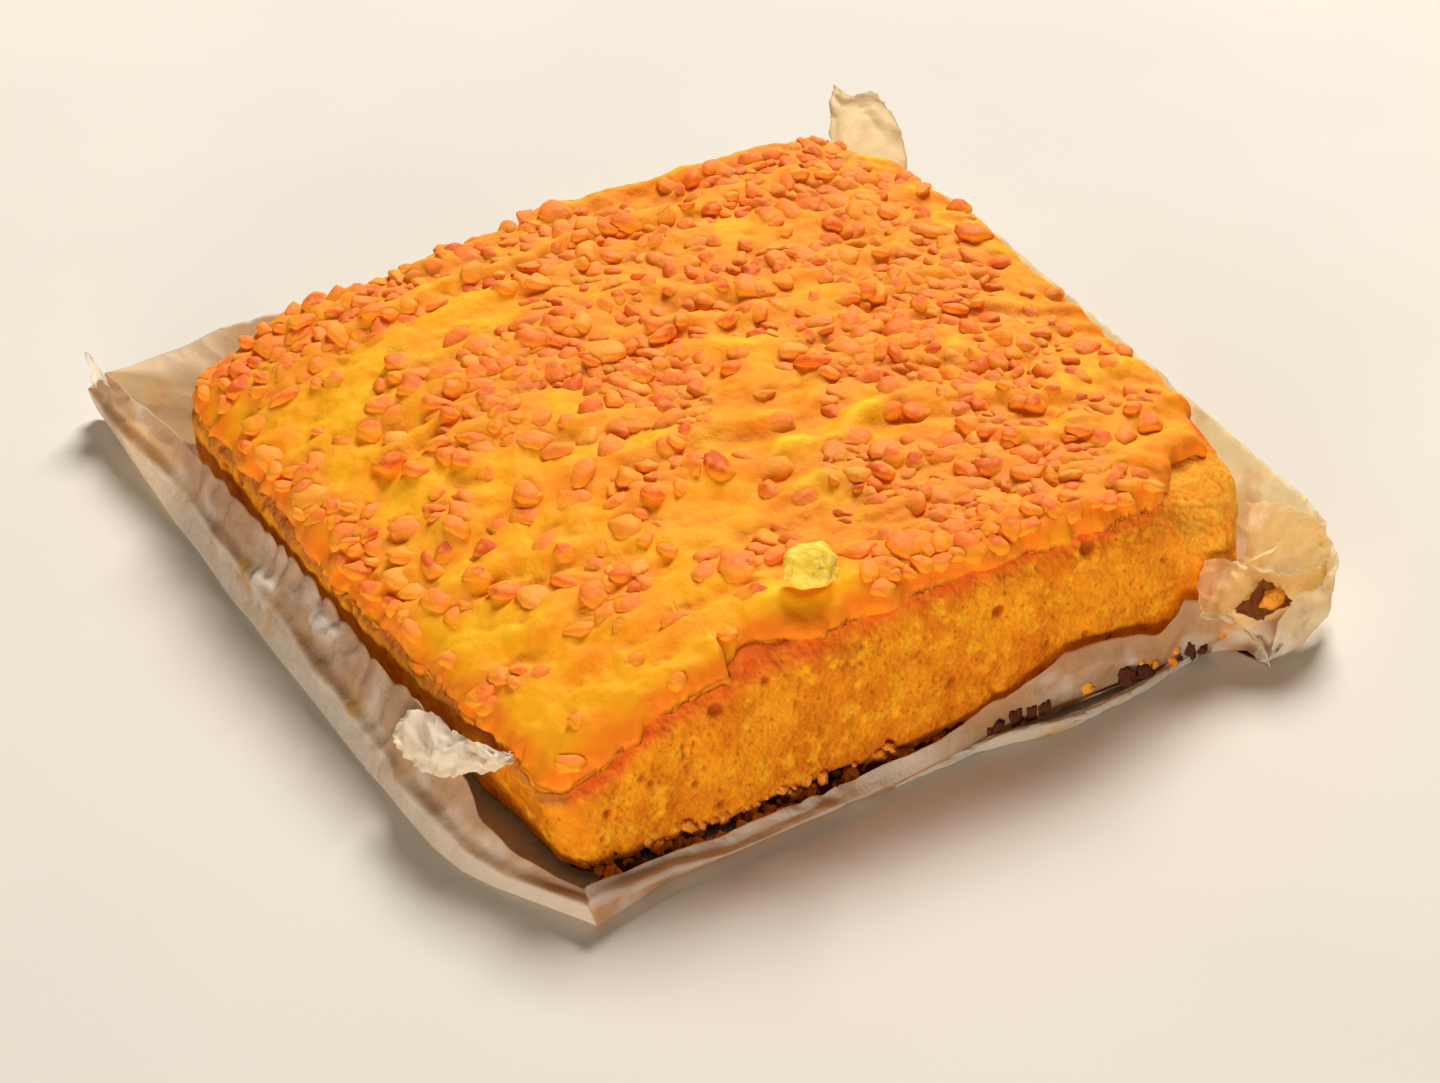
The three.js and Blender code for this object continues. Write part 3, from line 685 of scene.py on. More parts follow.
def sponge_piece():
    points, faces, u, v, height = slab_mesh()
    out, hollow = crumb_relief(points)
    on_side = smooth_step(0, 0.06, height) * (1 - 0.8 * smooth_step(0.93, 1, height))
    broken = broken_share(u, v) * smooth_step(0.45, 0.8, height)
    out = out * np.where(height < 1, np.maximum(on_side, broken), lerp(0.25, 1.2, broken))
    foot = bump(height, 0.05) * (0.4 + 0.6 * roughness_in_space(points / 2.4, 5)) * 0.9
    out = out - foot * (height > 0)
    points = points + vertex_normals(points, faces) * out[:, None]
    points[:, 2] -= broken * (BROKEN_CORNER["drop"] + BROKEN_CORNER["slope"] * smooth_step(0.06, 0, v))
    points[:, 2] = np.maximum(points[:, 2], SPONGE_BASE)
    band = lerp(CRUST_BAND["left"], CRUST_BAND["right"], smooth_step(0.35, 0.8, u))
    below_crust = crust_height(u, v) - points[:, 2]
    attributes = {
        "height": height,
        "hollow": hollow,
        "broken": broken,
        "left": smooth_step(0.03, 0, u),
        "crust": smooth_step(1, 0, below_crust / band) * (1 - 0.8 * broken),
    }
    return add_piece("sponge_crumb", points, faces, sponge_material(), "sponge", attributes)


# The icing and its nibs


def folds(x, y, seed):
    """Unevenness with sharp folds, from -1 to 1."""
    return 1 - 2 * np.abs(unevenness(x, y, seed))


def nib_heap(x, y, nibs):
    """At each point, how much the icing creeps up the nibs there, and how thick the nibs lie, both 0 to 1."""
    creep, heap = np.zeros(x.shape), np.zeros(x.shape)
    middle_x, middle_y = plan_point(nibs[0], nibs[1], 1)
    for nib_x, nib_y, size in zip(middle_x, middle_y, nibs[3]):
        near = (np.abs(x - nib_x) < NIB_REACH) & (np.abs(y - nib_y) < NIB_REACH)
        distance = np.hypot(x[near] - nib_x, y[near] - nib_y)
        creep[near] = np.maximum(creep[near], bump(distance, 0.55 * size))
        heap[near] += 0.45 * bump(distance, 0.6 * size)
    return creep, clamp01(heap)


def icing_relief(x, y):
    """The icing's drag marks and small lumps."""
    bend = (x - RIDGE_BEND_CENTRE) ** 2 / (2 * RIDGE_BEND_RADIUS)
    drag = 1 - np.abs(unevenness(x / 9, (y + bend) / 2.3, 31))
    fine = 0.22 * (drag**2 - 0.4) + 0.2 * unevenness(x / 1.9, y / 1.5, 33) + 0.14 * unevenness(x, y, 34)
    return fine + 0.45 * unevenness(x / 4.3, y / 3, 35) + 0.25 * folds(x / 6.5 + y / 9, y / 4.2, 37)


def edge_lobes(x, y, from_edge):
    """How far the icing hangs out along its edge, and how thin it gets there."""
    lobe = clamp01(0.4 + 0.8 * unevenness(x / 3.4, y / 3.4, 43) + 0.6 * unevenness(x / 1.3, y / 1.3, 44))
    thin = EDGE_THINNING * smooth_step(5, 0, from_edge) * (0.6 + 0.8 * unevenness(x / 5, y / 5, 45))
    return lobe * bump(from_edge, EDGE_ROUND), thin


def grid_rim(rows, columns):
    """The points round the edge of a grid, one way round."""
    return np.concatenate([
        np.arange(columns), np.arange(1, rows) * columns + columns - 1,
        (rows - 1) * columns + np.arange(columns - 2, -1, -1), np.arange(rows - 2, 0, -1) * columns,
    ])


def with_underside(top, rim, crust):
    """The icing closed from below: rings under its rim at the crust's height, drawn in to one point."""
    edge, centre = top[rim], top.mean(axis=0)
    rings, faces = [], []
    here = rim
    for level, (inward, low) in enumerate(ICING_UNDERSIDE):
        under = edge.copy()
        under[:, :2] = lerp(edge[:, :2], centre[:2], inward)
        under[:, 2] = crust + low
        rings.append(under)
        there = len(top) + level * len(rim) + np.arange(len(rim))
        next_here, next_there = np.roll(here, -1), np.roll(there, -1)
        faces += [np.stack([here, there, next_there], -1), np.stack([here, next_there, next_here], -1)]
        here = there
    points = np.concatenate([top, *rings, [[*centre[:2], 20]]])
    faces.append(np.stack([here, np.full(len(rim), len(points) - 1), np.roll(here, -1)], -1))
    return points, faces


def icing_piece(nibs):
    s, t = np.meshgrid(*(crowd_ends(np.linspace(0, 1, count), 0.35) for count in ICING_GRID))
    u, v = icing_place(s, t)
    x, y = plan_point(u, v, 1)
    from_edge = np.minimum(np.minimum(s, 1 - s), np.minimum(t, 1 - t)) * SLAB_SIDE
    rounded = np.sqrt(clamp01(1 - clamp01(1 - from_edge / EDGE_ROUND) ** 2))
    crest, fine = ridge(x, y), icing_relief(x, y)
    creep, heap = nib_heap(x, y, nibs)
    lobe, thin = edge_lobes(x, y, from_edge)
    z = icing_height(u, v) + fine + NIB_COLLAR * creep + HEAP_RISE * heap
    z = z - EDGE_ROUND * (1 - rounded) - thin - 0.5 * lobe
    beside = np.minimum(s, 1 - s) < np.minimum(t, 1 - t)
    x = x + EDGE_LOBES * lobe * beside * np.sign(s - 0.5)
    y = y + EDGE_LOBES * lobe * ~beside * np.sign(t - 0.5)
    top = np.stack([x, y, z], -1).reshape(-1, 3)
    rim = grid_rim(*s.shape)
    crust = (crust_height(u, v) - EDGE_SINK * broken_share(u, v)).ravel()[rim]
    points, side_faces = with_underside(top, rim, crust)
    faces = np.concatenate([grid_faces(*s.shape), *side_faces])
    lemon = clamp01(clamp01(1.15 - 2.6 * u) * smooth_step(0.02, 0.3, v))
    on_top = {"crest": crest + 0.5 * fine, "rim": smooth_step(2.6, 0.8, from_edge), "lemon": lemon,
              "heap": smooth_step(0.3, 0.95, heap)}
    underneath = {"crest": 0.2, "rim": 1, "lemon": 0.3, "heap": 0}
    attributes = {look: np.append(values.ravel(), np.full(len(points) - len(top), underneath[look]))
                  for look, values in on_top.items()}
    return add_piece("icing_spread", points, faces, icing_material(), "icing", attributes)


def nib_density(u, v):
    """How likely a nib is to lie at each place: more where the clusters are, and in the ridges' troughs."""
    x, y = plan_point(u, v, 1)
    heaped = sum(bump(np.hypot(u - cu, v - cv), size) for cu, cv, size in NIB_CLUSTERS)
    in_clusters = NIB_SPARSE + (1 - NIB_SPARSE) * np.minimum(1, heaped)
    return in_clusters * (1.15 - 0.75 * np.minimum(1, ridge(x, y)))


def candidates(tries, margin):
    """Places for nibs, evenly over the icing: u, v, and each one's own number."""
    i = np.arange(tries)
    s, t = (0.5 + i * 0.7548776662) % 1, (0.5 + i * 0.569840291) % 1
    u, v = icing_place(lerp(margin, 1 - margin, s), lerp(margin, 1 - margin, t))
    clear = np.hypot(u - CRUMB["u"], v - CRUMB["v"]) * SLAB_SIDE >= CRUMB["size"] + 3
    return u, v, i, clear & (chance(i + 900) < nib_density(u, v))


def large_nibs():
    u, v, i, kept = candidates(NIB_TRIES, 0.02)
    chosen = np.flatnonzero(kept)[:NIB_COUNT]
    size = lerp(NIB_LARGEST, NIB_SMALLEST, np.arange(len(chosen)) / NIB_COUNT)
    size = size * lerp(*NIB_SIZES, chance(chosen + 50))
    return u[chosen], v[chosen], i[chosen], size


def small_nibs(large):
    """Nibs between the large ones, none with its middle inside another."""
    u, v, i, kept = candidates(SMALL_NIB_TRIES, 0.008)
    placed = [(a, b, size) for a, b, size in zip(large[0], large[1], large[3])]
    chosen, sizes = [], []
    apart = np.hypot(u[:, None] - large[0], v[:, None] - large[1]).min(axis=1) * SLAB_SIDE
    clump = smooth_step(-0.22, 0.16, unevenness(u * CLUMPS_ACROSS, v * CLUMPS_ACROSS, 41))
    near_front = NIBS_AT_FRONT * bump(v - 0.03, 0.03) * smooth_step(0.35, 0.5, u)
    crowded = chance(i + 1900) < LONE_NIBS + near_front + 1.2 * bump(apart, CLUMP_REACH) * clump
    for k in np.flatnonzero(kept & crowded & (i > large[2].max())):
        size = lerp(SMALL_NIB_LARGEST, SMALL_NIB_SMALLEST, len(chosen) / SMALL_NIB_COUNT)
        size *= lerp(*SMALL_NIB_SIZES, chance(k + 50))
        others = np.array(placed)
        gap = np.hypot(others[:, 0] - u[k], others[:, 1] - v[k]) * SLAB_SIDE
        if np.all(gap > NIB_SPACING * (others[:, 2] + size)):
            placed.append((u[k], v[k], size))
            chosen.append(k)
            sizes.append(size)
        if len(chosen) == SMALL_NIB_COUNT:
            break
    chosen = np.array(chosen)
    return u[chosen], v[chosen], i[chosen], np.array(sizes)


def all_nibs():
    large = large_nibs()
    return [np.concatenate(pair) for pair in zip(large, small_nibs(large))]


def cube_grid(steps):
    """The surface of a cube from -1 to 1 as a grid: its points, and its triangles."""
    points, faces, known = [], [], {}

    def number(point):
        key = tuple(np.round(point, 6))
        if key not in known:
            known[key] = len(points)
            points.append(key)
        return known[key]

    for axis in range(3):
        for sign in (-1, 1):
            for i, j in np.ndindex(steps, steps):
                corners = []
                for a, b in ((i, j), (i + 1, j), (i + 1, j + 1), (i, j + 1)):
                    point = [0.0, 0.0, 0.0]
                    point[axis] = sign
                    point[(axis + 1) % 3] = 2 * a / steps - 1
                    point[(axis + 2) % 3] = 2 * b / steps - 1
                    corners.append(number(point))
                corners = corners if sign > 0 else corners[::-1]
                faces += [[corners[0], corners[1], corners[2]], [corners[0], corners[2], corners[3]]]
    return np.array(points), np.array(faces)


# A box's corners in the order in which the part's source numbers them
BOX_CORNERS = np.array([(1, 1, 1), (1, 1, -1), (1, -1, 1), (1, -1, -1),
                        (-1, 1, -1), (-1, 1, 1), (-1, -1, -1), (-1, -1, 1)])


def turn(points, angles):
    """Points turned about X, then Y, then Z, each row of angles for one set of points."""
    x, y, z = points[..., 0], points[..., 1], points[..., 2]
    a, b, c = (angles[:, axis, None] for axis in range(3))
    y, z = y * np.cos(a) - z * np.sin(a), y * np.sin(a) + z * np.cos(a)
    x, z = x * np.cos(b) + z * np.sin(b), z * np.cos(b) - x * np.sin(b)
    x, y = x * np.cos(c) - y * np.sin(c), x * np.sin(c) + y * np.cos(c)
    return np.stack([x, y, z], -1)


def nib_points(nibs):
    """Blocks with chipped corners, tipped at random, with their edges rounded."""
    u, v, seed, size = nibs
    block, faces = cube_grid(NIB_GRID)
    ball = block / np.linalg.norm(block, axis=1, keepdims=True)
    rounded = lerp(block, ball * 1.12, NIB_ROUNDING)
    chips = np.stack([
        [lerp(*NIB_CHIPS, chance(seed * 17 + corner * 3 + axis)) for axis in range(3)] for corner in range(8)
    ])
    weight = np.prod((1 + block[None] * BOX_CORNERS[:, None]) / 2, axis=-1)
    share = np.einsum("cp,can->npa", weight, chips)
    points = rounded[None] * share * np.array(NIB_PROPORTIONS) / 2 * size[:, None, None]
    rough = roughness_in_space(ball[None] * 1.6 + np.asarray(seed, float)[:, None, None] * 7, 91)
    points = points * (1 + 0.22 * rough)[..., None]
    tip_x, tip_y = ((chance(seed + draw) - 0.5) * NIB_TIP for draw in (60, 65))
    points = turn(points, np.stack([tip_x, tip_y, chance(seed + 70) * np.pi], -1))
    x, y = plan_point(u, v, 1)
    ground = icing_height(u, v) + icing_relief(x, y) + HEAP_RISE * nib_heap(x, y, nibs)[1]
    return points + np.stack([x, y, ground - size * NIB_SUNK], -1)[:, None], faces, ground


def nibs_piece(nibs):
    points, faces, ground = nib_points(nibs)
    count, each = points.shape[:2]
    height = points[..., 2] - ground[:, None]
    tone, bare = np.repeat(chance(nibs[2] + 400), each), smooth_step(-0.1, 0.9, height).ravel()
    return add_piece("nut_nibs", points.reshape(-1, 3), copies(faces, count, each), nib_material(),
                     attributes={"tone": tone, "bare": bare})


# Crumbs


def ball_grid(steps):
    block, faces = cube_grid(steps)
    return block / np.linalg.norm(block, axis=1, keepdims=True), faces


def loose_crumb():
    ball, faces = ball_grid(CRUMB["grid"])
    lump = ball * CRUMB["size"] * CRUMB["proportions"]
    swell = 0.25 + 0.8 * roughness_in_space(lump / 2.6, 51) + 0.5 * roughness_in_space(lump / 1.2, 53)
    distance, draw = nearest_seed(lump / 1.4, 57)
    swell = swell - 0.45 * clamp01(1 - distance / 0.5) * (draw > 0.4)
    lump = lump + ball * swell[:, None]
    x, y = plan_point(CRUMB["u"], CRUMB["v"], 1)
    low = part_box("crumb")[0][2] * 1000
    points = lump + np.array([float(x), float(y), low - lump[:, 2].min()])
    return add_piece("loose_crumb", points, faces, crumb_material(), "crumb")


def fold_crumb_places(i, at_foot):
    """Where each crumb lies, in the fold or at the cake's foot, and its size: the right ones are larger."""
    def drawn(low, high, seed, power=1):
        return lerp(low, high, chance(i + seed) ** power)

    along = np.where(at_foot, drawn(0.01, 0.62, 2100), drawn(0.03, 0.95, 2100))
    out = np.where(at_foot, drawn(-0.9, 0.1, 2200), drawn(0.5, 2.2, 2200) * lerp(1, 0.75, along))
    right = smooth_step(0.5, 0.6, along)
    size = drawn(FOLD_CRUMB_SMALLEST, np.where(at_foot, 1, lerp(1.2, 1.4, right)), 2300, 2)
    middle = [[*beside_foot(0, a, o), PAPER_THICKNESS + 0.45 * r] for a, o, r in zip(along, out, size)]
    middle = np.array(middle)
    on_wall = np.where(chance(i + 3000) < 0.35, drawn(0, 2.6, 2800), 0) * smooth_step(0.55, 0.65, along)
    middle[:, 2] += np.where(at_foot, drawn(0.4, 3, 2800, 2), on_wall + 1.2 * right)
    return along, middle, size


def fold_crumbs():
    """Burnt and golden crumbs that lie in the case's fold before the cake, and cling to the cake's foot."""
    ball, faces = ball_grid(FOLD_CRUMB_GRID)
    i = np.arange(FOLD_CRUMB_COUNT + FOOT_CRUMB_COUNT)
    at_foot = i >= FOLD_CRUMB_COUNT
    along, middle, size = fold_crumb_places(i, at_foot)
    shape = np.stack([lerp(0.9, 1.7, chance(i + 2900)), np.ones(len(i)), np.full(len(i), 0.75)], -1)
    lump = ball[None] * size[:, None, None] * shape[:, None]
    lump = lump * (1 + 0.5 * roughness_in_space(ball[None] * 2.2 + i[:, None, None] * 5, 93))[..., None]
    lump = turn(lump, np.stack([chance(i + 2400), chance(i + 2500), chance(i + 2600) * 2], -1) * np.pi)
    points = lump + middle[:, None]
    points[..., 2] += np.maximum(PAPER_THICKNESS - points[..., 2].min(1), 0)[:, None]
    corner = ball * (1 + 0.3 * roughness_in_space(ball * 2.2, 95))[:, None] * CORNER_CRUMB["radii"]
    points = np.concatenate([points, (corner + CORNER_CRUMB["place"])[None]])
    count, each = points.shape[:2]
    burnt = [*(chance(i + 2700) * np.where(at_foot, 0.62, lerp(1, 0.68, along))), CORNER_CRUMB["burnt"]]
    return add_piece("fold_crumbs", points.reshape(-1, 3), copies(faces, count, each), fold_crumb_material(),
                     attributes={"burnt": np.repeat(burnt, each)})


# The paper case


def beside_foot(side, along, out):
    start, end = FOOT_CORNERS[side], FOOT_CORNERS[(side + 1) % 4]
    outward = np.array([end[1] - start[1], start[0] - end[0]], float)
    return lerp(start, end, along) + outward / np.linalg.norm(outward) * out


def wall_stations(side):
    """The places along one side where the wall's lines are known, with each line's point."""
    def at_corner(corner, along):
        foot = np.array([*FOOT_CORNERS[corner], 0])
        return along, {line: foot + place for line, place in WALL_CORNERS[corner].items()}

    stations = [at_corner(side, 0)]
    for along, *places in WALL_SIDES[side]:
        points = [np.array([*beside_foot(side, along, out), up]) for out, up in places]
        stations.append((along, dict(zip(LINES, points))))
    return stations + [at_corner((side + 1) % 4, 1)]


def wall_section(side, stations, along):
    """The paper's section at one place: under the cake, bottom fold, turn, crease, half way up and rim."""
    after = next(k for k, (place, _) in enumerate(stations) if place >= along and k > 0)
    (start, before_lines), (end, after_lines) = stations[after - 1], stations[after]
    share = (along - start) / (end - start)
    eased = lerp(share, float(smooth_step(0, 1, share)), 0.5)
    fold, crease, rim = (lerp(before_lines[line], after_lines[line], eased) for line in LINES)
    loose = math.sin(math.pi * along)
    crease[2] += loose * 0.4 * unevenness(along * 14, side, 20)
    lobe = abs(math.sin(along * RIM_LOBES[side] * math.pi + 2 * unevenness(along * 9, side, 21)))
    rim[2] += loose * RIM_SCALLOPS[side] * (lobe - 0.6) * (0.7 + 0.5 * unevenness(along * 17, side, 24))
    middle = lerp(crease, rim, 0.5)
    middle[2] -= loose * WALL_SAG * (0.6 + 0.4 * unevenness(along * 11, side, 22))
    under = np.array([*beside_foot(side, lerp(0.07, 0.93, along), -FLOOR_INSET), 0])
    turned = fold + [0, 0, TURN_HEIGHT * (1 + 0.5 * unevenness(along * 12, side, 23))]
    fold[:2] = lerp(fold[:2], under[:2], TURN_UNDERCUT / np.linalg.norm(fold[:2] - under[:2]))
    return [under, fold, turned, crease, middle, rim]


def wall_browning_and_shade(places, upper):
    """How brown the outer face is painted: stains with painted shade over the crease at the left, painted
    shade under it front left, and stains with painted shade front right.
    """
    left, front = places > 3, places < 1
    right_part = smooth_step(0.42, 0.6, places)
    tan = np.where(left, 0.75 * upper, 0) + np.where(front, (1 - upper) * (1 - right_part) * 0.9, 0)
    return tan + np.where(front, 0.9 * right_part, 0)


def paper_sheet():
    """The case's sheet, in rows from under the cake to the rim, and each column's place round the case."""
    sections, places = [], []
    for side in range(4):
        stations = wall_stations(side)
        for step in range(PAPER_STEPS):
            along = float(crowd_ends(step / PAPER_STEPS, 0.5))
            sections.append(wall_section(side, stations, along))
            places.append(side + along)
    sections = np.array(sections)
    ground, low, high = PAPER_ROWS
    stretches = [(0, ground - 2), (1, 2), (2, low), (3, high // 2), (4, high - high // 2)]
    rows = []
    for k, steps in stretches:
        rows += [lerp(sections[:, k], sections[:, k + 1], step / steps) for step in range(steps)]
    return np.array([*rows, sections[:, -1]]), np.array(places)


def sheet_measures(sheet):
    """How far each point of the sheet lies up the wall from the bottom fold, and how far round the case."""
    up = np.cumsum(np.linalg.norm(np.diff(sheet, axis=0), axis=2), axis=0)
    up = np.concatenate([np.zeros((1, sheet.shape[1])), up])
    round_rim = np.cumsum(np.linalg.norm(sheet[-1] - np.roll(sheet[-1], 1, axis=0), axis=1))
    return up - up[PAPER_ROWS[0]], np.broadcast_to(round_rim, up.shape)


def crumpled_strip(sheet, places, across, up):
    """How far each point is in the white crumpled strip on the left wall, from 0 to 1."""
    y, z = sheet[..., 1], sheet[..., 2]
    back, front = CRUMPLED["slope"]
    height = lerp(*CRUMPLED["height"], clamp01((back - y) / (back - front)))
    strip = bump(z - height, CRUMPLED["width"]) * (places > 3)
    strip = strip * smooth_step(*CRUMPLED["back"], y) * smooth_step(*CRUMPLED["front"], y)
    return strip * smooth_step(-0.3, 0.2, unevenness(across / 4.5, up / 3, 66))


def paper_crinkle(places, across, up, crumpled):
    """How far the sheet's crinkles stand out, with the ledge along the left wall's crease."""
    crinkle = 0.5 * folds(across / 11 + 0.5 * up / 5, up / 7 + across / 30, 61)
    crinkle = crinkle + 0.2 * folds(across / 4 - up / 6, up / 5, 62)
    crinkle = crinkle + 0.07 * folds(across / 1.9, up / 2.5, 63)
    above = (up - up[sum(PAPER_ROWS[:2])]) / LEDGE_WIDTH
    ledge = (bump(above, 1) - bump(above - 2.2, 1.6)) * (1 + unevenness(across / 9, 0.5, 68))
    crinkle = crinkle + LEDGE * ledge * ((places > 3) | (places < 0.35))
    return (crinkle + crumpled * (0.5 + 0.7 * folds(across / 2.2, up / 1.9, 67))) * smooth_step(0.3, 4, up)


def paper_looks(places, across, up, crumpled):
    """What the paper's material shows on each face of the sheet: outside, then inside."""
    crease = sum(PAPER_ROWS[:2])
    upper = smooth_step(crease - 1, crease + 1, np.arange(len(up)))[:, None]
    grease = clamp01(1 - np.abs(up - 4) / 6) * (0.5 + 0.5 * unevenness(across / 12, up / 6, 65))
    gap = smooth_step(0.5, 0.65, places) * smooth_step(1, 0.97, places)
    # Painted shade in the gap along the bottom fold before the front right.
    painted_shade = 0.85 * bump(up - 0.1, 1.1) * gap * smooth_step(-0.7, 0.1, unevenness(across / 3, up / 2, 69))
    cream = CREAM * smooth_step(0.88, 0.96, places) * smooth_step(2, 1.9, places) * upper
    looks = {"grease": clamp01(grease), "white": crumpled, "painted_shade": painted_shade, "cream": cream}
    looks = {look: np.tile(values.ravel(), 2) for look, values in looks.items()}
    return looks | {"tan": np.append(wall_browning_and_shade(places, upper).ravel(), np.full(up.size, 0.1))}


def paper_piece():
    sheet, places = paper_sheet()
    up, across = sheet_measures(sheet)
    rows, around = up.shape
    faces = grid_faces(rows, around, closed=True)
    crumpled = crumpled_strip(sheet, places, across, up)
    outer = sheet.reshape(-1, 3)
    crinkle = paper_crinkle(places, across, up, crumpled).reshape(-1, 1)
    outer = outer + vertex_normals(outer, faces) * crinkle
    outer[:, 2] = np.maximum(outer[:, 2], PAPER_LOWEST)
    inner = outer - vertex_normals(outer, faces) * PAPER_THICKNESS
    inner[:, 2] = np.maximum(inner[:, 2], PAPER_LOWEST + PAPER_THICKNESS * (up.ravel() < 0.1))
    ring, total = np.arange(around), len(outer)
    rim, under = edge_strip((rows - 1) * around + ring, total, False), edge_strip(ring, total, True)
    all_faces = np.concatenate([faces, faces[:, ::-1] + total, rim, under])
    points, looks = np.concatenate([outer, inner]), paper_looks(places, across, up, crumpled)
    return add_piece("case_paper", points, all_faces, paper_material(), "paper", looks)


def through_points(points, steps):
    """A smooth line through points, with steps places between each two."""
    points = np.asarray(points, float)
    ends = np.concatenate([[2 * points[0] - points[1]], points, [2 * points[-1] - points[-2]]])
    line = []
    for k in range(len(points) - 1):
        a, b, c, d = ends[k:k + 4]
        for t in np.arange(steps) / steps:
            line.append(0.5 * (2 * b + (c - a) * t + (2 * a - 5 * b + 4 * c - d) * t**2
                               + (3 * b - a - 3 * c + d) * t**3))
    return np.array([*line, points[-1]])


def paper_scrap(name, ribs, seed, material, looks):
    """A torn bit of the case's paper: a smooth sheet through ribs that have one number of points each."""
    along_rib, between_ribs = SCRAP_STEPS
    lines = np.array([through_points(rib, along_rib) for rib in ribs])
    sheet = np.stack([through_points(lines[:, k], between_ribs) for k in range(lines.shape[1])], 1)
    rows, columns = sheet.shape[:2]
    faces = grid_faces(rows, columns)
    row, column = (values.astype(float) for values in np.indices((rows, columns)))
    edge = np.minimum(np.minimum(row, rows - 1 - row), np.minimum(column, columns - 1 - column))
    torn = SCRAP_RAGGED * (edge < 1) * unevenness((row + column) / 1.7, (row - column) / 1.7, seed)
    from_centre = sheet - sheet.mean(axis=(0, 1))
    sheet = sheet + from_centre / np.linalg.norm(from_centre, axis=-1, keepdims=True) * torn[..., None]
    front = sheet.reshape(-1, 3)
    height = looks["crinkle"] * folds(row / 7 + column / 11, column / 6 - row / 13, seed + 1)
    height = height + 0.5 * looks["crinkle"] * folds(row / 3.5 - column / 9, column / 3 + row / 8, seed + 3)
    front = front + vertex_normals(front, faces) * height.reshape(-1, 1)
    back = front - vertex_normals(front, faces) * PAPER_THICKNESS
    total = len(front)
    strip = edge_strip(grid_rim(rows, columns), total, True)
    all_faces = np.concatenate([faces, faces[:, ::-1] + total, strip])
    grease = (1 - looks["white"]) * clamp01(0.35 + 0.65 * unevenness(row / 9, column / 9, seed + 2)).ravel()
    attributes = {look: np.full(2 * total, looks[look]) for look in ("white", "cream", "painted_shade")}
    attributes["grease"] = np.tile(grease, 2)
    return add_piece(name, np.concatenate([front, back]), all_faces, material, attributes=attributes)


# The torn and folded bits that stand away from the case's wall, each as ribs across it
SCRAPS = {
    "lip_front": [
        [(x, out, 0.12), (x, out - 0.25, top * 0.55), (x, out - 0.1, top), (x, out + 0.7, top * 0.9)]
        for x, out, top in (
            (-6, -49.4, 0.9), (0, -49.4, 1.1), (6, -49.2, 1.4), (12, -50, 2.1), (18, -50.9, 1.8),
            (23, -50.6, 1.3), (28, -50.2, 1.3), (33, -49.6, 1.5), (38, -48.4, 1.3), (43, -47.4, 1),
        )
    ],
    "ear_back_right": [
        [(56.5, 66.5, 9), (59, 66, 9), (61.5, 62.5, 9), (63, 57, 9)],
        [(56.2, 67.5, 19), (59, 67, 20), (62, 63.5, 20.5), (63.8, 57, 18)],
        [(56.6, 68.2, 25), (59.3, 67.4, 24.6), (62.4, 64.6, 25), (63.5, 60, 23.4)],
        [(57.4, 68.6, 28.2), (60.2, 67.6, 25.6), (62.2, 65.8, 26.8), (63.2, 62.6, 26.2)],
    ],
    "flap_left": [
        [(-60.2, -19.4, 12), (-61, -19.6, 10.4), (-60.6, -19.2, 8.8)],
        [(-57.9, -19.6, 12.6), (-60.7, -22.4, 11.8), (-60.8, -23.4, 8.6)],
        [(-56.6, -23, 13.4), (-59.7, -26.4, 12.6), (-60.1, -27, 9)],
        [(-56.6, -27, 14), (-58.7, -29, 13.2), (-58.9, -29.4, 9.8)],
        [(-55.4, -31, 14.6), (-56.8, -32, 13.8), (-57.2, -31.6, 11)],
        [(-53.9, -34.5, 15), (-54.8, -35, 14.2), (-55.2, -34.4, 12.6)],
        [(-53.1, -36.1, 15), (-53.3, -36.3, 14.8), (-53.5, -36.4, 14.5)],
    ],
    "sliver_back_left": [
        [(-61.6, 79, 5), (-60.6, 75, 5.2), (-60, 70, 5.4)],
        [(-61.9, 79.6, 8.4), (-61.4, 77, 8.4), (-60.8, 73.6, 8.2)],
        [(-62.1, 80.2, 11.6), (-61.9, 79.4, 11.8), (-61.7, 78.4, 11.4)],
    ],
    "petal_front_right": [
        [(42.2, -48.2, 8), (45.5, -48.4, 7), (48, -48.6, 6.8), (50.8, -48.6, 6)],
        [(41.7, -47.6, 12), (45, -48.4, 12), (48.4, -48.8, 10.6), (51, -48.4, 8.4)],
        [(43, -46.8, 15.8), (46.2, -47.2, 15), (49, -47.8, 13), (52, -48, 9.6)],
    ],
    "brim_front_right": [
        [(48.6, -47, 13.6), (51.2, -50.2, 12.8), (54.6, -52, 12.4), (58.6, -52, 12)],
        [(52, -44.6, 13), (54.6, -46, 13.4), (58, -48.4, 13.8), (61, -50.6, 12.6)],
        [(58.6, -35.8, 12.6), (60.4, -40, 14.2), (63, -44.8, 14), (62.6, -49, 12.6)],
    ],
    "strip_front_right": [
        [(41.8, -48.2, 9), (47.4, -47.6, 6.4), (50.4, -48, 3.4), (49.6, -53, 2)],
        [(41.9, -48.6, 7.8), (46.6, -48.4, 5.2), (49.6, -49.6, 2.4), (49.4, -54.4, 0.6)],
    ],
    # A dark sheet that stands for the shade in the hole of the torn paper: painted shade.
    "shade_sheet_front_right": [
        [(46.6, -49.8, 8.8), (48.9, -49.8, 9.2), (50.7, -49.8, 11.4), (53.1, -49.8, 9.4), (55.8, -49.8, 6.4)],
        [(47.1, -49.8, 7.4), (49.2, -49.8, 6), (51.3, -49.8, 4.8), (53.6, -49.8, 5.1), (56.1, -49.8, 5.5)],
    ],
    "corner_front_right": [
        [(50.6, -53, 0.5), (57, -52.6, 1), (62, -50.4, 2.4), (65, -46.4, 5)],
        [(52, -52, 4.6), (56.4, -53, 5), (61.4, -51.4, 6.4), (64.6, -46, 8.6)],
        [(55, -52, 9), (58.4, -52.4, 9.6), (61.6, -51.2, 11), (63.4, -47.4, 12.8)],
    ],
}
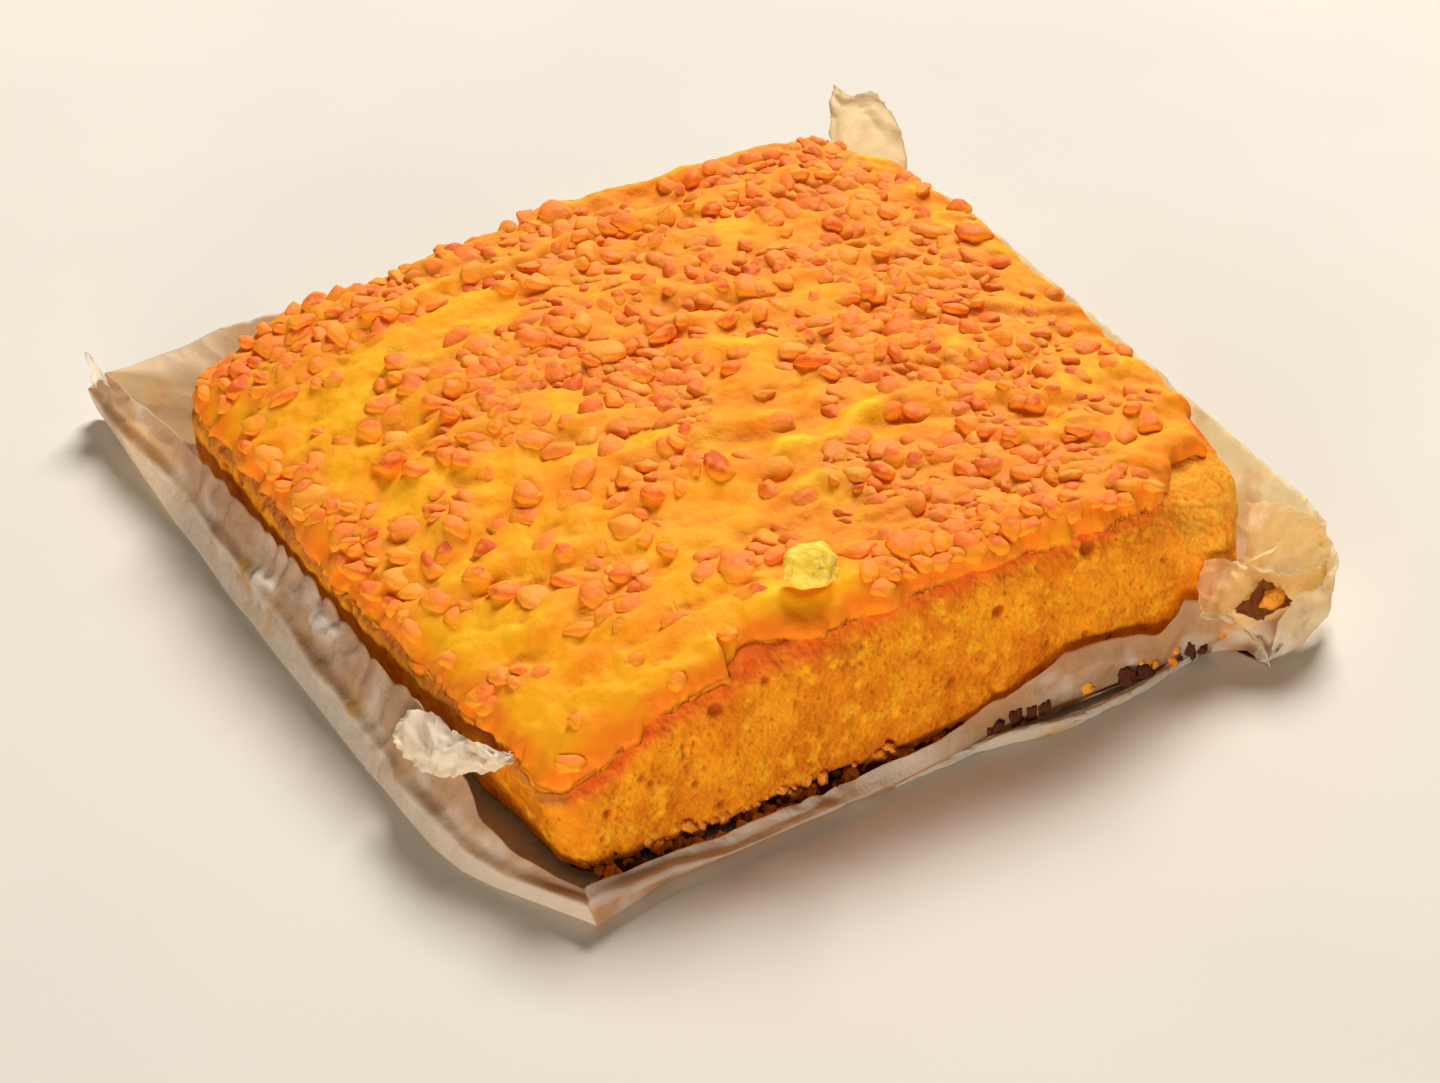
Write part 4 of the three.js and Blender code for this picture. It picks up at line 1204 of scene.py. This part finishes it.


# How white and buttery each torn bit is and how much painted shade it carries, from 0 to 1, and how far its
# crinkles stand out
PLAIN_SCRAP = {"white": 0, "cream": 0, "painted_shade": 0, "crinkle": 0.4}
SCRAP_LOOKS = {
    "lip_front": {"crinkle": 0.15},
    "flap_left": {"white": 1, "cream": 0.3, "crinkle": 0.6},
    "ear_back_right": {"white": 0.8, "cream": 0.5},
    "sliver_back_left": {"white": 0.6},
    "petal_front_right": {"white": 0.4, "cream": 0.9},
    "brim_front_right": {"white": 0.4, "cream": 1},
    "strip_front_right": {"white": 0.7, "cream": 0.5},
    "shade_sheet_front_right": {"painted_shade": 1},
    "corner_front_right": {"white": 0.6, "cream": 0.5},
}


def paper_scraps():
    material = bpy.data.materials["case_paper"]
    for number, (name, ribs) in enumerate(SCRAPS.items()):
        paper_scrap("paper_" + name, ribs, 70 + 5 * number, material, PLAIN_SCRAP | SCRAP_LOOKS[name])


# Floor, lights and camera


def add_floor():
    half = FLOOR_SIZE / 2
    corners = [(-half, -half, 0), (half, -half, 0), (half, half, 0), (-half, half, 0)]
    mesh = bpy.data.meshes.new("floor")
    mesh.from_pydata(corners, [], [(0, 1, 2, 3)])
    mesh.materials.append(floor_material())
    floor = bpy.data.objects.new("floor", mesh)
    bpy.context.scene.collection.objects.link(floor)


def add_light(name, direction, distance, size, power, colour):
    """A soft light, size metres wide and high, that shines at the cake from that direction."""
    data = bpy.data.lights.new(name, "AREA")
    data.shape = "RECTANGLE"
    data.size, data.size_y = size
    data.energy = power
    data.color = colour
    lamp = bpy.data.objects.new(name, data)
    towards = Vector(direction).normalized()
    lamp.location = towards * distance
    lamp.rotation_euler = towards.to_track_quat("Z", "Y").to_euler()
    bpy.context.scene.collection.objects.link(lamp)


def add_camera():
    data = bpy.data.cameras.new("photo_view")
    data.lens = CAMERA_LENS
    data.sensor_fit = "HORIZONTAL"
    data.sensor_width = CAMERA_SENSOR
    camera = bpy.data.objects.new("photo_view", data)
    a, e = math.radians(CAMERA_AZIMUTH), math.radians(CAMERA_ELEVATION)
    back = Vector((math.sin(a) * math.cos(e), -math.cos(a) * math.cos(e), math.sin(e)))
    target = Vector((CAMERA_TARGET + SHIFT) / 1000)
    camera.location = target + back * (CAMERA_DISTANCE / 1000)
    camera.rotation_euler = back.to_track_quat("Z", "Y").to_euler()
    bpy.context.scene.collection.objects.link(camera)
    bpy.context.scene.camera = camera


def add_surroundings():
    world = bpy.data.worlds.new("studio")
    world.use_nodes = True
    background = world.node_tree.nodes["Background"]
    background.inputs["Color"].default_value = WORLD_COLOUR
    background.inputs["Strength"].default_value = WORLD_STRENGTH
    bpy.context.scene.world = world
    bpy.context.scene.view_settings.view_transform = "Standard"


nibs = all_nibs()
sponge_piece()
icing_piece(nibs)
nibs_piece(nibs)
loose_crumb()
fold_crumbs()
paper_piece()
paper_scraps()
add_floor()
add_light("key", **KEY_LIGHT)
add_light("fill", **FILL_LIGHT)
add_camera()
add_surroundings()
